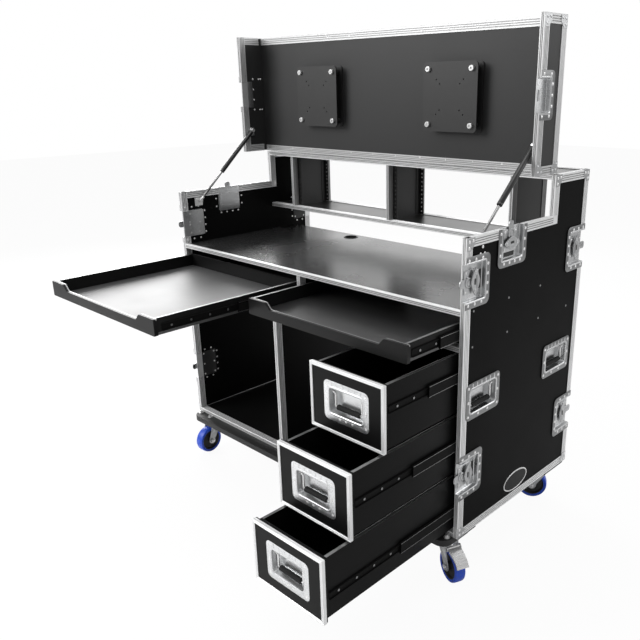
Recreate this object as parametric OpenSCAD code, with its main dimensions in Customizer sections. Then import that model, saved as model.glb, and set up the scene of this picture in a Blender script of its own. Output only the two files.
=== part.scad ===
// Dual bay video rack case on casters, drawn in the pose of the photograph:
// lid upright on its gas struts, both trays and all three drawers pulled out.
// Millimetres, +Z up, floor at z = 0, front of the case towards -Y,
// origin on the floor under the middle of the carcass.

/* [Case] */
// outside width of the case over its edging
case_width = 1276; // [1240:2:1340]
// outside depth of the case over its edging
case_depth = 615; // [600:1:680]
// height of the side panels' front part above the case bottom
side_height = 865; // [860:1:880]
// rise of the hutch at the back above the side panels' front part
hutch_rise = 115; // [110:1:135]
// depth of the hutch, front face to back face
hutch_depth = 198; // [185:1:215]
// thickness of the laminated boards
board = 10.5; // [9:0.5:12]
// leg length of the aluminium edging
edge_leg = 25; // [20:1:30]
// wall thickness of the aluminium edging
gauge = 2; // [1.5:0.1:2.5]
// joint gap where two boards or two lengths of edging meet
fit = 0.1; // [0.05:0.05:0.3]

/* [Layout] */
// top of the desk above the case bottom
desk_top = 676; // [670:1:690]
// depth of the desk and of the boards below it
desk_depth = 535; // [515:1:550]
// top of the shelf that carries the trays, above the case bottom
tray_shelf_top = 577; // [574:1:582]
// top of the hutch shelf below the top of the side panels' front part
hutch_shelf_drop = 86; // [83:1:91]
// clear width of a hutch bay between its edging, for a 19 inch panel
rack_clear = 483.6; // [483:0.1:486]
// clear width of the left lower bay
left_bay = 490; // [484:1:494]
// width of a drawer front
drawer_width = 256; // [250:1:260]
// height of a drawer front
drawer_height = 180; // [176:0.5:182]

/* [Lid] */
// length of the lid from its hinge edge to its free edge
lid_length = 408; // [400:1:412]
// radius of the hinge knuckles
hinge_r = 2.2; // [2:0.1:3]
// side of the square monitor plates
plate_size = 200; // [190:1:210]
// sideways distance of each monitor plate's centre from the middle
plate_x = 291; // [270:1:310]
// height of the monitor plates' centre above the top of the hutch
plate_up = 207; // [200:1:215]
// distance of the plates' front from the lid board
plate_stand_off = 33; // [28:1:40]

/* [Slides] */
// height of the ball slides
slide_height = 35; // [33:1:40]
// thickness of a slide, side board to drawer side
slide_gap = 12.7; // [12.5:0.1:13.5]
// length of the slides and their full travel
slide_travel = 500; // [480:10:510]
// how far the upper drawer is out in the photograph
upper_out = 288; // [0:1:400]
// how far the middle drawer is out in the photograph
middle_out = 407; // [0:1:450]
// how far the right tray is out in the photograph
right_tray_out = 204; // [0:1:400]
// height of a tray's side walls
tray_height = 48; // [44:1:52]

/* [Latches and handles] */
// flange length of a latch dish along the case edge
latch_length = 137; // [130:1:145]
// flange reach of a latch dish in from the case edge
latch_reach = 105; // [100:1:112]
// place of the top latch along the side, from the middle towards the back
latch_top_y = -99; // [-110:1:-90]
// flange width of a handle dish
handle_width = 158; // [150:1:170]
// flange height of a handle dish
handle_height = 108; // [102:1:120]
// flange width of a drawer's pull dish
pull_width = 156; // [146:1:162]
// flange height of a drawer's pull dish
pull_height = 108; // [102:1:114]
// depth of a handle dish
handle_depth = 22; // [20:0.5:24]

/* [Casters] */
// wheel diameter
wheel_d = 100; // [96:1:104]
// wheel width
wheel_w = 34; // [30:1:36]
// height from the floor to the caster boards
caster_height = 134; // [132:1:140]
// thickness of the caster boards
caster_board = 20; // [18:1:24]
// distance of the swivels in from the sides of the case
swivel_side = 58; // [53:1:73]
// distance of the swivels in from the front and the back of the case
swivel_end = 29.5; // [22.5:0.5:37.5]
// distance of a wheel's axle behind its swivel
trail = 38; // [32:1:40]

/* [Hidden] */
$fn = 48;
// bottom of the carcass above the floor
base = caster_height + caster_board;
half_w = case_width / 2;
half_d = case_depth / 2;
// face width of the edging round one board
face = board + 2 * gauge;
// planes of the side boards: outer skin, inner skin, and the edging's inner face
skin_out = half_w - gauge;
skin_in = skin_out - board;
leg_in = skin_in - gauge;
hutch_front = half_d - hutch_depth;
side_top = base + side_height;
hutch_top = side_top + hutch_rise;
desk_z1 = base + desk_top;
desk_z0 = desk_z1 - face;
desk_back = desk_depth - half_d;
shelf_z1 = base + tray_shelf_top;
shelf_z0 = shelf_z1 - face;
hshelf_z1 = side_top - hutch_shelf_drop;
hshelf_z0 = hshelf_z1 - face;
floor_z1 = base + face;
// lower bay divider and drawer divider, left plane of each board
bay_div = -skin_in + left_bay;
drawer_x1 = leg_in - 2;
drawer_x0 = drawer_x1 - drawer_width;
drawer_div = drawer_x0 - 2 - gauge - board;
// hutch dividers are thinner so that a 19 inch panel passes between them
hdiv = 6.5;
hdiv_face = hdiv + 2 * gauge;
hdiv_x = [-rack_clear - hdiv_face, 0, rack_clear + hdiv_face];
// drawers stack between the bottom edging and the tray shelf
drawer_gap = (shelf_z0 - floor_z1 - 3 * drawer_height) / 4;
drawer_z = [for (i = [0:2]) floor_z1 + drawer_gap + i * (drawer_height + drawer_gap)];
drawer_out = [slide_travel, middle_out, upper_out];
drawer_slide_z = [drawer_z[0] + 66, drawer_z[1] + 90, drawer_z[2] + 110];
box_x0 = drawer_div + board + slide_gap + 0.2;
box_x1 = skin_in - slide_gap - 0.2;
box_wall = 9;
box_depth = slide_travel + 20;
front_t = 14;
// trays
tray_z0 = shelf_z1 + 13;
tray_z1 = tray_z0 + tray_height;
tray_slide_z = tray_z0 + tray_height / 2 - 4;
tray_x0 = board / 2 + slide_gap + 0.2;
tray_x1 = skin_in - slide_gap - 0.2;
tray_out = [slide_travel, right_tray_out];
slide_start = -half_d + edge_leg + 1;
// lid
lid_depth = hutch_rise - 1;
hinge_y = hutch_front + hinge_r;
hinge_z = hutch_top + hinge_r + 0.3;
lid_z0 = hinge_z + hinge_r + 0.4;
lid_z1 = lid_z0 + lid_length;
lid_back = hutch_front;
lid_front = lid_back - lid_depth;
lid_board_y = lid_back - gauge - board;
lid_face_y = lid_back - face;
plate_front = lid_board_y - plate_stand_off;
plate_z = hutch_top + plate_up;
// struts: ball at the case and ball at the lid
strut_x = leg_in - 12;
ball_lo = [-half_d + 72.5, side_top - 37];
ball_hi = [lid_front + 27, lid_z0 + 79];
strut_len = norm(ball_hi - ball_lo);
strut_ang = atan2(ball_hi[1] - ball_lo[1], ball_hi[0] - ball_lo[0]);
tube_len = 0.6 * strut_len;
// latches: distance along the edge of each dish's centre
latch_upper = side_top - 117;
latch_lower = base + 191;
latch_rim = 20;
latch_pit = board + gauge;
// handles
handle_z = base + 413;
handle_y = [-half_d + 98.5, half_d - 122.5];
// width and height of the pit in a handle dish of a given flange size
function pit(w, h) = [w - 40, h - 42];
// casters
wheel_r = wheel_d / 2;
axle_r = 5;
plate_t = 4;
swivel_x = half_w - swivel_side;
swivel_y = half_d - swivel_end;
fork_top = caster_height - plate_t - 0.3;
// rest headings of the wheels, counted from +X about +Z
headings = [-85, -24, -120, -150];

module bx(x0, x1, y0, y1, z0, z1) translate([x0, y0, z0]) cube([x1 - x0, y1 - y0, z1 - z0]);
module along_x(x0, x1) translate([x0, 0, 0]) rotate([90, 0, 90]) linear_extrude(x1 - x0) children();
module along_y(y0, y1) translate([0, y1, 0]) rotate([90, 0, 0]) linear_extrude(y1 - y0) children();
module along_z(z0, z1) translate([0, 0, z0]) linear_extrude(z1 - z0) children();
module cyl_x(x0, x1, y, z, r) translate([x0, y, z]) rotate([0, 90, 0]) cylinder(h = x1 - x0, r = r);
module cyl_y(y0, y1, x, z, r) translate([x, y0, z]) rotate([-90, 0, 0]) cylinder(h = y1 - y0, r = r);
module both_sides() { children(); mirror([1, 0, 0]) children(); }
module ring4(a0, a1, b0, b1, w) difference() {
  translate([a0, b0]) square([a1 - a0, b1 - b0]);
  translate([a0 + w, b0 + w]) square([a1 - a0 - 2 * w, b1 - b0 - 2 * w]);
}
module round_rect(a0, a1, b0, b1, r) {
  translate([a0 + r, b0]) square([a1 - a0 - 2 * r, b1 - b0]);
  translate([a0, b0 + r]) square([a1 - a0, b1 - b0 - 2 * r]);
  for (a = [a0 + r, a1 - r], b = [b0 + r, b1 - r]) translate([a, b]) circle(r);
}
// U section of the edging: face on the a axis, legs along +b
module u_sec(w = face, leg = edge_leg) polygon([[0, 0], [w, 0], [w, leg], [w - gauge, leg],
  [w - gauge, gauge], [gauge, gauge], [gauge, leg], [0, leg]]);
// the same section lying over: face on the b axis, legs along +a
module u_lying(w = face, leg = edge_leg) polygon([[0, 0], [leg, 0], [leg, gauge], [gauge, gauge],
  [gauge, w - gauge], [leg, w - gauge], [leg, w], [0, w]]);
// edging on the front or back edge of a level board
module board_front_trim(x0, x1, y, z0, leg = edge_leg)
  along_x(x0 + fit, x1 - fit) translate([y, z0]) u_lying(leg = leg);
module board_back_trim(x0, x1, y, z0)
  along_x(x0 + fit, x1 - fit) translate([y, z0]) mirror([1, 0]) u_lying();
// edging on the front edge of an upright board whose left plane is x
module upright_trim(x, y, z0, z1, w = face) along_z(z0 + fit, z1 - fit) translate([x - gauge, y]) u_sec(w);
// frame of reference on an edge of the right side panel:
// local x out of the panel, y inwards from the edge, z along the edge
module on_front(z) translate([half_w, -half_d, z]) children();
module on_back(z) translate([half_w, half_d, z]) mirror([0, 1, 0]) children();
module on_top(y) translate([half_w, y, side_top]) rotate([-90, 0, 0]) children();
module every_latch() {
  for (z = [latch_upper, latch_lower]) { on_front(z) children(); on_back(z) children(); }
  on_top(latch_top_y) children();
}
// plates that cover the latch dishes inside the case; the one under the hutch shelf is cut short
module latch_covers() {
  h = latch_length / 2 - 12;
  for (z = [latch_upper, latch_lower]) on_front(z) latch_cover(-h, h);
  on_back(latch_upper) latch_cover(-h, hshelf_z0 - latch_upper - 1);
  on_back(latch_lower) latch_cover(-h, h);
  on_top(latch_top_y) latch_cover(-h, h);
}
module latch_cover(b0, b1) bx(-latch_pit - 1.2, -latch_pit, edge_leg + fit, latch_reach - 12, b0, b1);
module latch_cut() translate([-latch_pit, -1, -latch_length / 2 + latch_rim])
  cube([latch_pit + 1, latch_reach - latch_rim + 1, latch_length - 2 * latch_rim]);
// frame on a handle of the right side panel: local x out of the panel
module every_handle() for (y = handle_y) translate([half_w, y, handle_z]) children();
module handle_cut(w, h, deep) {
  p = pit(w, h) / 2 + [1.2, 1.2];
  translate([-deep, -p[0], -p[1]]) cube([deep + 2, 2 * p[0], 2 * p[1]]);
}

module side_profile() polygon([[-half_d + gauge, base + gauge], [half_d - gauge, base + gauge],
  [half_d - gauge, hutch_top - gauge], [hutch_front + gauge, hutch_top - gauge],
  [hutch_front + gauge, side_top - gauge], [-half_d + gauge, side_top - gauge]]);
module side_panels() color([0.10, 0.10, 0.105]) both_sides() difference() {
  along_x(skin_in, skin_out) side_profile();
  every_latch() latch_cut();
  every_handle() handle_cut(handle_width, handle_height, face + 1);
}

// an upright board of the lower case, stepped clear of the edging's legs at its front
module upright_board(x, z0, z1, t = board) {
  bx(x, x + t, -half_d + edge_leg, desk_back, z0 - gauge + fit, z1 + gauge - fit);
  bx(x, x + t, -half_d + gauge, -half_d + edge_leg, z0, z1);
}
module level_board(z0, x0 = -skin_in, x1 = skin_in) {
  bx(x0, x1, -half_d + edge_leg, desk_back, z0 + gauge, z0 + gauge + board);
  bx(x0 + gauge, x1 - gauge, -half_d + gauge, -half_d + edge_leg, z0 + gauge, z0 + gauge + board);
}
module inner_boards() color([0.09, 0.09, 0.095]) {
  bx(-leg_in, leg_in, -half_d + gauge, half_d - gauge, base + gauge, base + gauge + board);
  level_board(shelf_z0);
  upright_board(bay_div, floor_z1, shelf_z0);
  upright_board(drawer_div, floor_z1, shelf_z0);
  upright_board(-board / 2, shelf_z1, desk_z0);
}
grommet = [-253, desk_back - 44.5];
grommet_r = 22;
module desk_board() color([0.30, 0.30, 0.31]) difference() {
  level_board(desk_z0);
  translate([grommet[0], grommet[1], desk_z0]) cylinder(h = face + 1, r = grommet_r + 2);
}
module desk_grommet() color([0.05, 0.05, 0.05]) translate([grommet[0], grommet[1], desk_z1 - gauge])
  difference() {
    union() {
      cylinder(h = 2, r = grommet_r + 5);
      translate([0, 0, -board]) cylinder(h = board, r = grommet_r + 2);
    }
    translate([0, 0, -board - 1]) cylinder(h = board + 4, r = grommet_r);
  }

module hutch_boards() color([0.09, 0.09, 0.095]) {
  // shelf, stepped clear of the back edging's inner legs
  bx(-skin_in, skin_in, hutch_front + gauge, half_d - edge_leg, hshelf_z0 + gauge, hshelf_z1 - gauge);
  bx(-leg_in, leg_in, half_d - edge_leg, half_d - gauge, hshelf_z0 + gauge, hshelf_z1 - gauge);
  // top
  bx(-leg_in, leg_in, hutch_front + gauge, half_d - gauge, hutch_top - face + gauge, hutch_top - gauge);
  // dividers
  for (x = hdiv_x) {
    bx(x - hdiv / 2, x + hdiv / 2, hutch_front + edge_leg, half_d - edge_leg,
      hshelf_z1 - gauge + fit, hutch_top - face + gauge - fit);
    bx(x - hdiv / 2, x + hdiv / 2, hutch_front + gauge, hutch_front + edge_leg,
      hshelf_z1, hutch_top - face);
    bx(x - hdiv / 2, x + hdiv / 2, half_d - edge_leg, half_d - gauge, hshelf_z1, hutch_top - face);
  }
}

// rows of edging round one side panel, each length a solid of its own
module side_edging() {
  // front and back uprights
  difference() {
    union() {
      along_z(base, side_top) translate([leg_in, -half_d]) u_sec();
      along_z(base, hutch_top) translate([leg_in, half_d]) mirror([0, 1]) u_sec();
    }
    for (z = [latch_upper, latch_lower]) { on_front(z) latch_cut(); on_back(z) latch_cut(); }
  }
  // bottom, top of the front part, front and top of the hutch
  along_y(-half_d + edge_leg + fit, half_d - edge_leg - fit) translate([leg_in, base]) u_sec();
  difference() {
    along_y(-half_d + edge_leg + fit, hutch_front + gauge) translate([leg_in, side_top])
      mirror([0, 1]) u_sec();
    on_top(latch_top_y) latch_cut();
  }
  for (x = [leg_in, skin_out])
    bx(x, x + gauge, hutch_front + gauge + fit, hutch_front + edge_leg, side_top - edge_leg, side_top);
  along_z(side_top + fit, hutch_top) translate([leg_in, hutch_front]) u_sec();
  along_y(hutch_front + edge_leg + fit, half_d - edge_leg - fit) translate([leg_in, hutch_top])
    mirror([0, 1]) u_sec();
}
module case_edging() color([0.80, 0.81, 0.82]) {
  both_sides() side_edging();
  // bottom board, tray shelf and desk
  board_front_trim(-leg_in, leg_in, -half_d, base);
  board_back_trim(-leg_in, leg_in, half_d, base);
  board_front_trim(-leg_in, leg_in, -half_d, shelf_z0);
  board_front_trim(-leg_in, leg_in, -half_d, desk_z0, 12);
  // uprights of the lower case
  upright_trim(bay_div, -half_d, floor_z1, shelf_z0);
  upright_trim(drawer_div, -half_d, floor_z1, shelf_z0);
  upright_trim(-board / 2, -half_d, shelf_z1, desk_z0);
  // hutch
  board_front_trim(-skin_in, skin_in, hutch_front, hshelf_z0);
  board_back_trim(-leg_in, leg_in, half_d, hshelf_z0);
  board_front_trim(-leg_in, leg_in, hutch_front, hutch_top - face);
  board_back_trim(-leg_in, leg_in, half_d, hutch_top - face);
  for (x = hdiv_x) {
    upright_trim(x - hdiv / 2, hutch_front, hshelf_z1, hutch_top - face, hdiv_face);
    along_z(hshelf_z1 + fit, hutch_top - face - fit) translate([x - hdiv_face / 2, half_d])
      mirror([0, 1]) u_sec(hdiv_face);
  }
  // the fixed leaf of the lid hinge and its knuckles
  translate([0, 0, hutch_top + fit]) {
    bx(-leg_in, leg_in, hinge_y + hinge_r + 0.4, hinge_y + 20, 0, 1.2);
    for (i = [0:2:8]) {
      cyl_x(knuckle(i), knuckle(i + 1) - 0.4, hinge_y, hinge_z - hutch_top - fit, hinge_r);
      bx(knuckle(i), knuckle(i + 1) - 0.4, hinge_y, hinge_y + hinge_r + 0.4, 0, 1.2);
    }
  }
}
function knuckle(i) = -leg_in + i * 2 * leg_in / 9;

// corner plate with cut corners, lying in the plane of the panel, and its three rivets
corner_leg = 34;
module corner_plate() {
  along_x(half_w, half_w + 1.2)
    polygon([[0, 0], [corner_leg, 0], [corner_leg, 18], [18, corner_leg], [0, corner_leg]]);
  for (p = [[10, 10], [26, 9], [9, 26]]) rivet(half_w + 1.2, p[0], p[1]);
}
module rivet(x, y, z, r = 4) cyl_x(x, x + 1.6, y, z, r);
module latch_rivets() {
  h = latch_length / 2 - 10;
  for (b = [-h, h], a = [12, 41, 70]) rivet(1.2, a, b);
  for (b = [-1.5, -0.5, 0.5, 1.5]) rivet(1.2, latch_reach - 10, b * 26);
}
module handle_rivets() {
  for (a = [-1, 1], b = [-1, 0, 1])
    rivet(1.2, a * (handle_width / 2 - 10), b * (handle_height / 2 - 12));
  for (a = [-22, 22]) rivet(1.2, a, -handle_height / 2 + 10);
}
// distances of the side screws from the middle, front to back
screw_y = [-265, -100, 65];
module corner_plates() color([0.82, 0.82, 0.83]) both_sides() {
  translate([0, -half_d, base]) corner_plate();
  translate([0, half_d, base]) mirror([0, 1, 0]) corner_plate();
  translate([0, half_d, hutch_top]) mirror([0, 1, 0]) mirror([0, 0, 1]) corner_plate();
  translate([0, hutch_front, hutch_top]) mirror([0, 0, 1]) corner_plate();
  translate([0, -half_d, side_top]) mirror([0, 0, 1]) corner_plate();
  every_latch() latch_rivets();
  every_handle() handle_rivets();
  for (y = screw_y) rivet(skin_out, y, desk_z0 + face / 2, 3.5);
  for (y = [screw_y[0], screw_y[1], screw_y[2], half_d - 77.5])
    rivet(skin_out, y, shelf_z0 + face / 2, 3.5);
  // lower ball joint of the gas strut: plate, rivets through the wall, stud and ball
  bx(skin_in - 2, skin_in, ball_lo[0] - 16, ball_lo[0] + 16, ball_lo[1] - 20, ball_lo[1] + 10);
  cyl_x(strut_x - 2.6, skin_in - 2, ball_lo[0], ball_lo[1], 3);
  for (p = [[0, 5], [-9, -13], [9, -13]]) rivet(skin_out, ball_lo[0] + p[0], ball_lo[1] + p[1]);
}

// rack rails in both hutch bays, front and back, four rack units high
unit = 44.45;
rack_z = (hshelf_z1 + hutch_top - face) / 2 - 2 * unit;
rack_hole = 465.1;
bay_x = [-(rack_clear + hdiv_face) / 2, (rack_clear + hdiv_face) / 2];
rail_x = rack_clear / 2 + gauge;
// rail whose screw face starts at x, y and runs towards s across and t in depth
module rack_rail(x, y, s, t) difference() {
  union() {
    rail_leg(x, y, s * 19, t * 2);
    rail_leg(x, y, s * 2, t * 20);
  }
  for (u = [0:3], h = [6.35, 22.225, 38.1])
    cyl_y(min(y, y + t * 2) - 1, max(y, y + t * 2) + 1, x + s * (rail_x - rack_hole / 2),
      rack_z + u * unit + h, 3.1);
}
module rail_leg(x, y, dx, dy)
  bx(min(x, x + dx), max(x, x + dx), min(y, y + dy), max(y, y + dy), hshelf_z1 + 1, hutch_top - face - 1);
module rack_rails() color([0.05, 0.05, 0.05]) for (b = bay_x) {
  for (s = [-1, 1]) {
    rack_rail(b + s * rail_x, hutch_front + edge_leg + 2, -s, 1);
    rack_rail(b + s * rail_x, half_d - edge_leg - 2, -s, -1);
  }
}

// latch dish: flange, pit open to the edge, mechanism plate and hook bar
module latch_dish() {
  h = latch_length / 2;
  r = h - latch_rim;
  e = latch_reach - latch_rim;
  along_x(0, 1.2) difference() {
    union() {
      translate([0, -h]) square([latch_reach - 16, 2 * h]);
      translate([0, -h + 16]) square([latch_reach, 2 * h - 32]);
      for (b = [-h + 16, h - 16]) translate([latch_reach - 16, b]) circle(16);
    }
    translate([-1, -r + 1.2]) square([e - 0.2, 2 * r - 2.4]);
  }
  bx(-latch_pit, -latch_pit + 1.2, 0, e, -r, r);
  for (b = [-r, r - 1.2]) bx(-latch_pit, 0, 0, e, b, b + 1.2);
  bx(-latch_pit, 0, e - 1.2, e, -r, r);
  // mechanism plate and the fixed hook
  bx(-latch_pit + 1.3, -latch_pit + 4, 6, e - 14, -31, 31);
  bx(-latch_pit + 4, -latch_pit + 6, -21, 30, -11, 11);
  bx(-latch_pit + 4, -latch_pit + 8, -23, -21, -11, 11);
}
wing_a = 44;
module latch_dishes() color([0.78, 0.79, 0.80]) both_sides() {
  every_latch() latch_dish();
  latch_covers();
}
// butterfly wing of a latch, turning on the mechanism plate
module wing() {
  cyl_x(-latch_pit + 4.3, -3, wing_a, 0, 8);
  along_x(-3, 1) translate([wing_a, 0]) {
    translate([-17, -8]) square([34, 16]);
    for (a = [-17, 17]) translate([a, 0]) circle(13);
  }
}
module wing_color() color([0.75, 0.76, 0.78]) children();

// handle dish: flange round a pit, pressed from one sheet
module handle_dish(w, h) {
  p = pit(w, h) / 2;
  q = p + [1.2, 1.2];
  along_x(0, 1.2) difference() {
    round_rect(-w / 2, w / 2, -h / 2, h / 2, 14);
    translate(-p) square(2 * p);
  }
  bx(-handle_depth, -handle_depth + 1.2, -q[0], q[0], -q[1], q[1]);
  along_x(-handle_depth, 0) ring4(-q[0], q[0], -q[1], q[1], 1.2);
}
module handle_dishes() color([0.78, 0.79, 0.80])
  both_sides() every_handle() handle_dish(handle_width, handle_height);
// bail of a handle: pivot pin at the top of the pit, two arms, grip at the bottom
bail_n = -10;
module bail(w, h) {
  p = pit(w, h) / 2;
  top = p[1] - 13;
  low = -p[1] + 15;
  arm = p[0] - 12;
  cyl_y(-p[0] + 0.3, p[0] - 0.3, bail_n, top, 3);
  for (s = [-1, 1]) bx(bail_n - 3, bail_n + 3, s * arm - 3, s * arm + 3, low, top);
  cyl_y(-arm - 3, arm + 3, bail_n, low, 7.5);
}
module side_bail(i) color([0.06, 0.06, 0.06])
  translate([half_w, handle_y[i], handle_z]) bail(handle_width, handle_height);

// ball slides: section in local (s, h), s from the fixed wall to the moving side
module fixed_sec() {
  h = slide_height / 2;
  polygon([[0, -h], [9.5, -h], [9.5, -h + 1.2], [1.2, -h + 1.2], [1.2, h - 1.2], [9.5, h - 1.2],
    [9.5, h], [0, h]]);
}
module middle_sec() {
  h = slide_height / 2 - 1.5;
  polygon([[3.2, -h + 1.4], [5, -h + 1.4], [5, -h], [8.5, -h], [8.5, -h + 1.4], [10.8, -h + 1.4],
    [10.8, -h + 5.7], [7, -h + 5.7], [7, -h + 2.6], [4.4, -h + 2.6], [4.4, h - 2.6], [7, h - 2.6],
    [7, h - 5.7], [10.8, h - 5.7], [10.8, h - 1.4], [8.5, h - 1.4], [8.5, h], [5, h],
    [5, h - 1.4], [3.2, h - 1.4]]);
}
module inner_sec() {
  h = slide_height / 2 - 7.5;
  polygon([[7.5, -h], [slide_gap, -h], [slide_gap, h], [7.5, h], [7.5, h - 1.2],
    [slide_gap - 1.4, h - 1.2], [slide_gap - 1.4, -h + 1.2], [7.5, -h + 1.2]]);
}
// place a slide section on the wall at x, facing s, height z, moved forward by out
module slide_run(x, s, z, out) translate([x, -out, z]) mirror([s < 0 ? 1 : 0, 0, 0])
  along_y(slide_start, slide_start + slide_travel - 6) children();
drawer_walls = [[drawer_div + board, 1], [skin_in, -1]];
left_tray_walls = [[-skin_in, 1], [-board / 2, -1]];
right_tray_walls = [[board / 2, 1], [skin_in, -1]];
module fixed_slides() color([0.12, 0.12, 0.12]) {
  for (w = drawer_walls, z = drawer_slide_z) slide_run(w[0], w[1], z, 0) fixed_sec();
  for (w = left_tray_walls) slide_run(w[0], w[1], tray_slide_z, 0) fixed_sec();
  for (w = right_tray_walls) slide_run(w[0], w[1], tray_slide_z, 0) fixed_sec();
}
module middle_slides(walls, z, out) color([0.70, 0.70, 0.71])
  for (w = walls) slide_run(w[0], w[1], z, out / 2) middle_sec();
module inner_slides(walls, z, out) for (w = walls) slide_run(w[0], w[1], z, out) inner_sec();

// tray, drawn on the right; the front wall is cut low in the middle
tray_wall = 9;
tray_face_y = -half_d;
module tray(out, i) color([0.11, 0.11, 0.115]) {
  inner_slides(i == 0 ? left_tray_walls : right_tray_walls, tray_slide_z, tray_out[i]);
  mirror([i == 0 ? 1 : 0, 0, 0]) translate([0, -out, 0]) {
    bx(tray_x0, tray_x1, tray_face_y + 12 + fit, tray_face_y + box_depth, tray_z0, tray_z0 + 8);
    bx(tray_x0, tray_x1, tray_face_y + box_depth - 9, tray_face_y + box_depth, tray_z0 + 8 + fit, tray_z1);
    for (x = [tray_x0, tray_x1 - tray_wall])
      bx(x, x + tray_wall, tray_face_y + 12 + fit, tray_face_y + box_depth - 9 - fit,
        tray_z0 + 8 + fit, tray_z1);
    // front wall with a dip between its raised ends
    along_y(tray_face_y, tray_face_y + 12) polygon([[board / 2 + 6.5, tray_z0], [leg_in - 2, tray_z0],
      [leg_in - 2, tray_z1], [leg_in - 78, tray_z1], [leg_in - 96, tray_z1 - 19],
      [board / 2 + 100, tray_z1 - 19], [board / 2 + 82, tray_z1], [board / 2 + 6.5, tray_z1]]);
  }
}
module left_tray() tray(tray_out[0], 0);
module right_tray() tray(tray_out[1], 1);

// a drawer in its photographed pose: n counts from the bottom
drawer_cx = (drawer_x0 + drawer_x1) / 2;
module drawer_at(n) translate([0, -half_d - drawer_out[n], drawer_z[n]]) children();
module dish_at(n) drawer_at(n) translate([drawer_cx, 0, drawer_height / 2]) rotate([0, 0, -90]) children();
module drawer_box(n) color([0.10, 0.10, 0.105]) {
  inner_slides(drawer_walls, drawer_slide_z[n], drawer_out[n]);
  h = drawer_height;
  drawer_at(n) {
    // front board and inner front wall with the opening for the handle dish
    difference() {
      union() {
        bx(drawer_x0 + 1.5, drawer_x1 - 1.5, 1.5, front_t, 1.5, h - 1.5);
        bx(box_x0, box_x1, front_t, front_t + box_wall, 5, h - 5);
      }
      translate([drawer_cx, 0, h / 2]) rotate([0, 0, -90])
        handle_cut(pull_width, pull_height, front_t + box_wall + 1);
    }
    bx(box_x0, box_x1, front_t + box_wall + fit, box_depth, 5, 13);
    bx(box_x0, box_x1, box_depth - box_wall, box_depth, 13 + fit, h - 5);
    for (x = [box_x0, box_x1 - box_wall])
      bx(x, x + box_wall, front_t + box_wall + fit, box_depth - box_wall - fit, 13 + fit, h - 5);
  }
}
module drawer_trim(n) color([0.82, 0.83, 0.84]) {
  h = drawer_height;
  drawer_at(n) difference() {
    union() {
      along_y(0, 1.5) ring4(drawer_x0, drawer_x1, 0, h, 13);
      along_y(1.5, front_t) ring4(drawer_x0, drawer_x1, 0, h, 1.4);
    }
    // mitred corners
    for (x = [drawer_x0, drawer_x1], z = [0, h])
      translate([x, 0, z]) rotate([0, 45, 0]) for (q = [0, 90])
        rotate([0, q, 0]) cube([60, 60, fit], center = true);
  }
  translate([0, 1.2, 0]) dish_at(n) handle_dish(pull_width, pull_height);
}
module drawer_bail(n) color([0.20, 0.20, 0.20])
  translate([0, 1.2, 0]) dish_at(n) bail(pull_width, pull_height);

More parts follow.
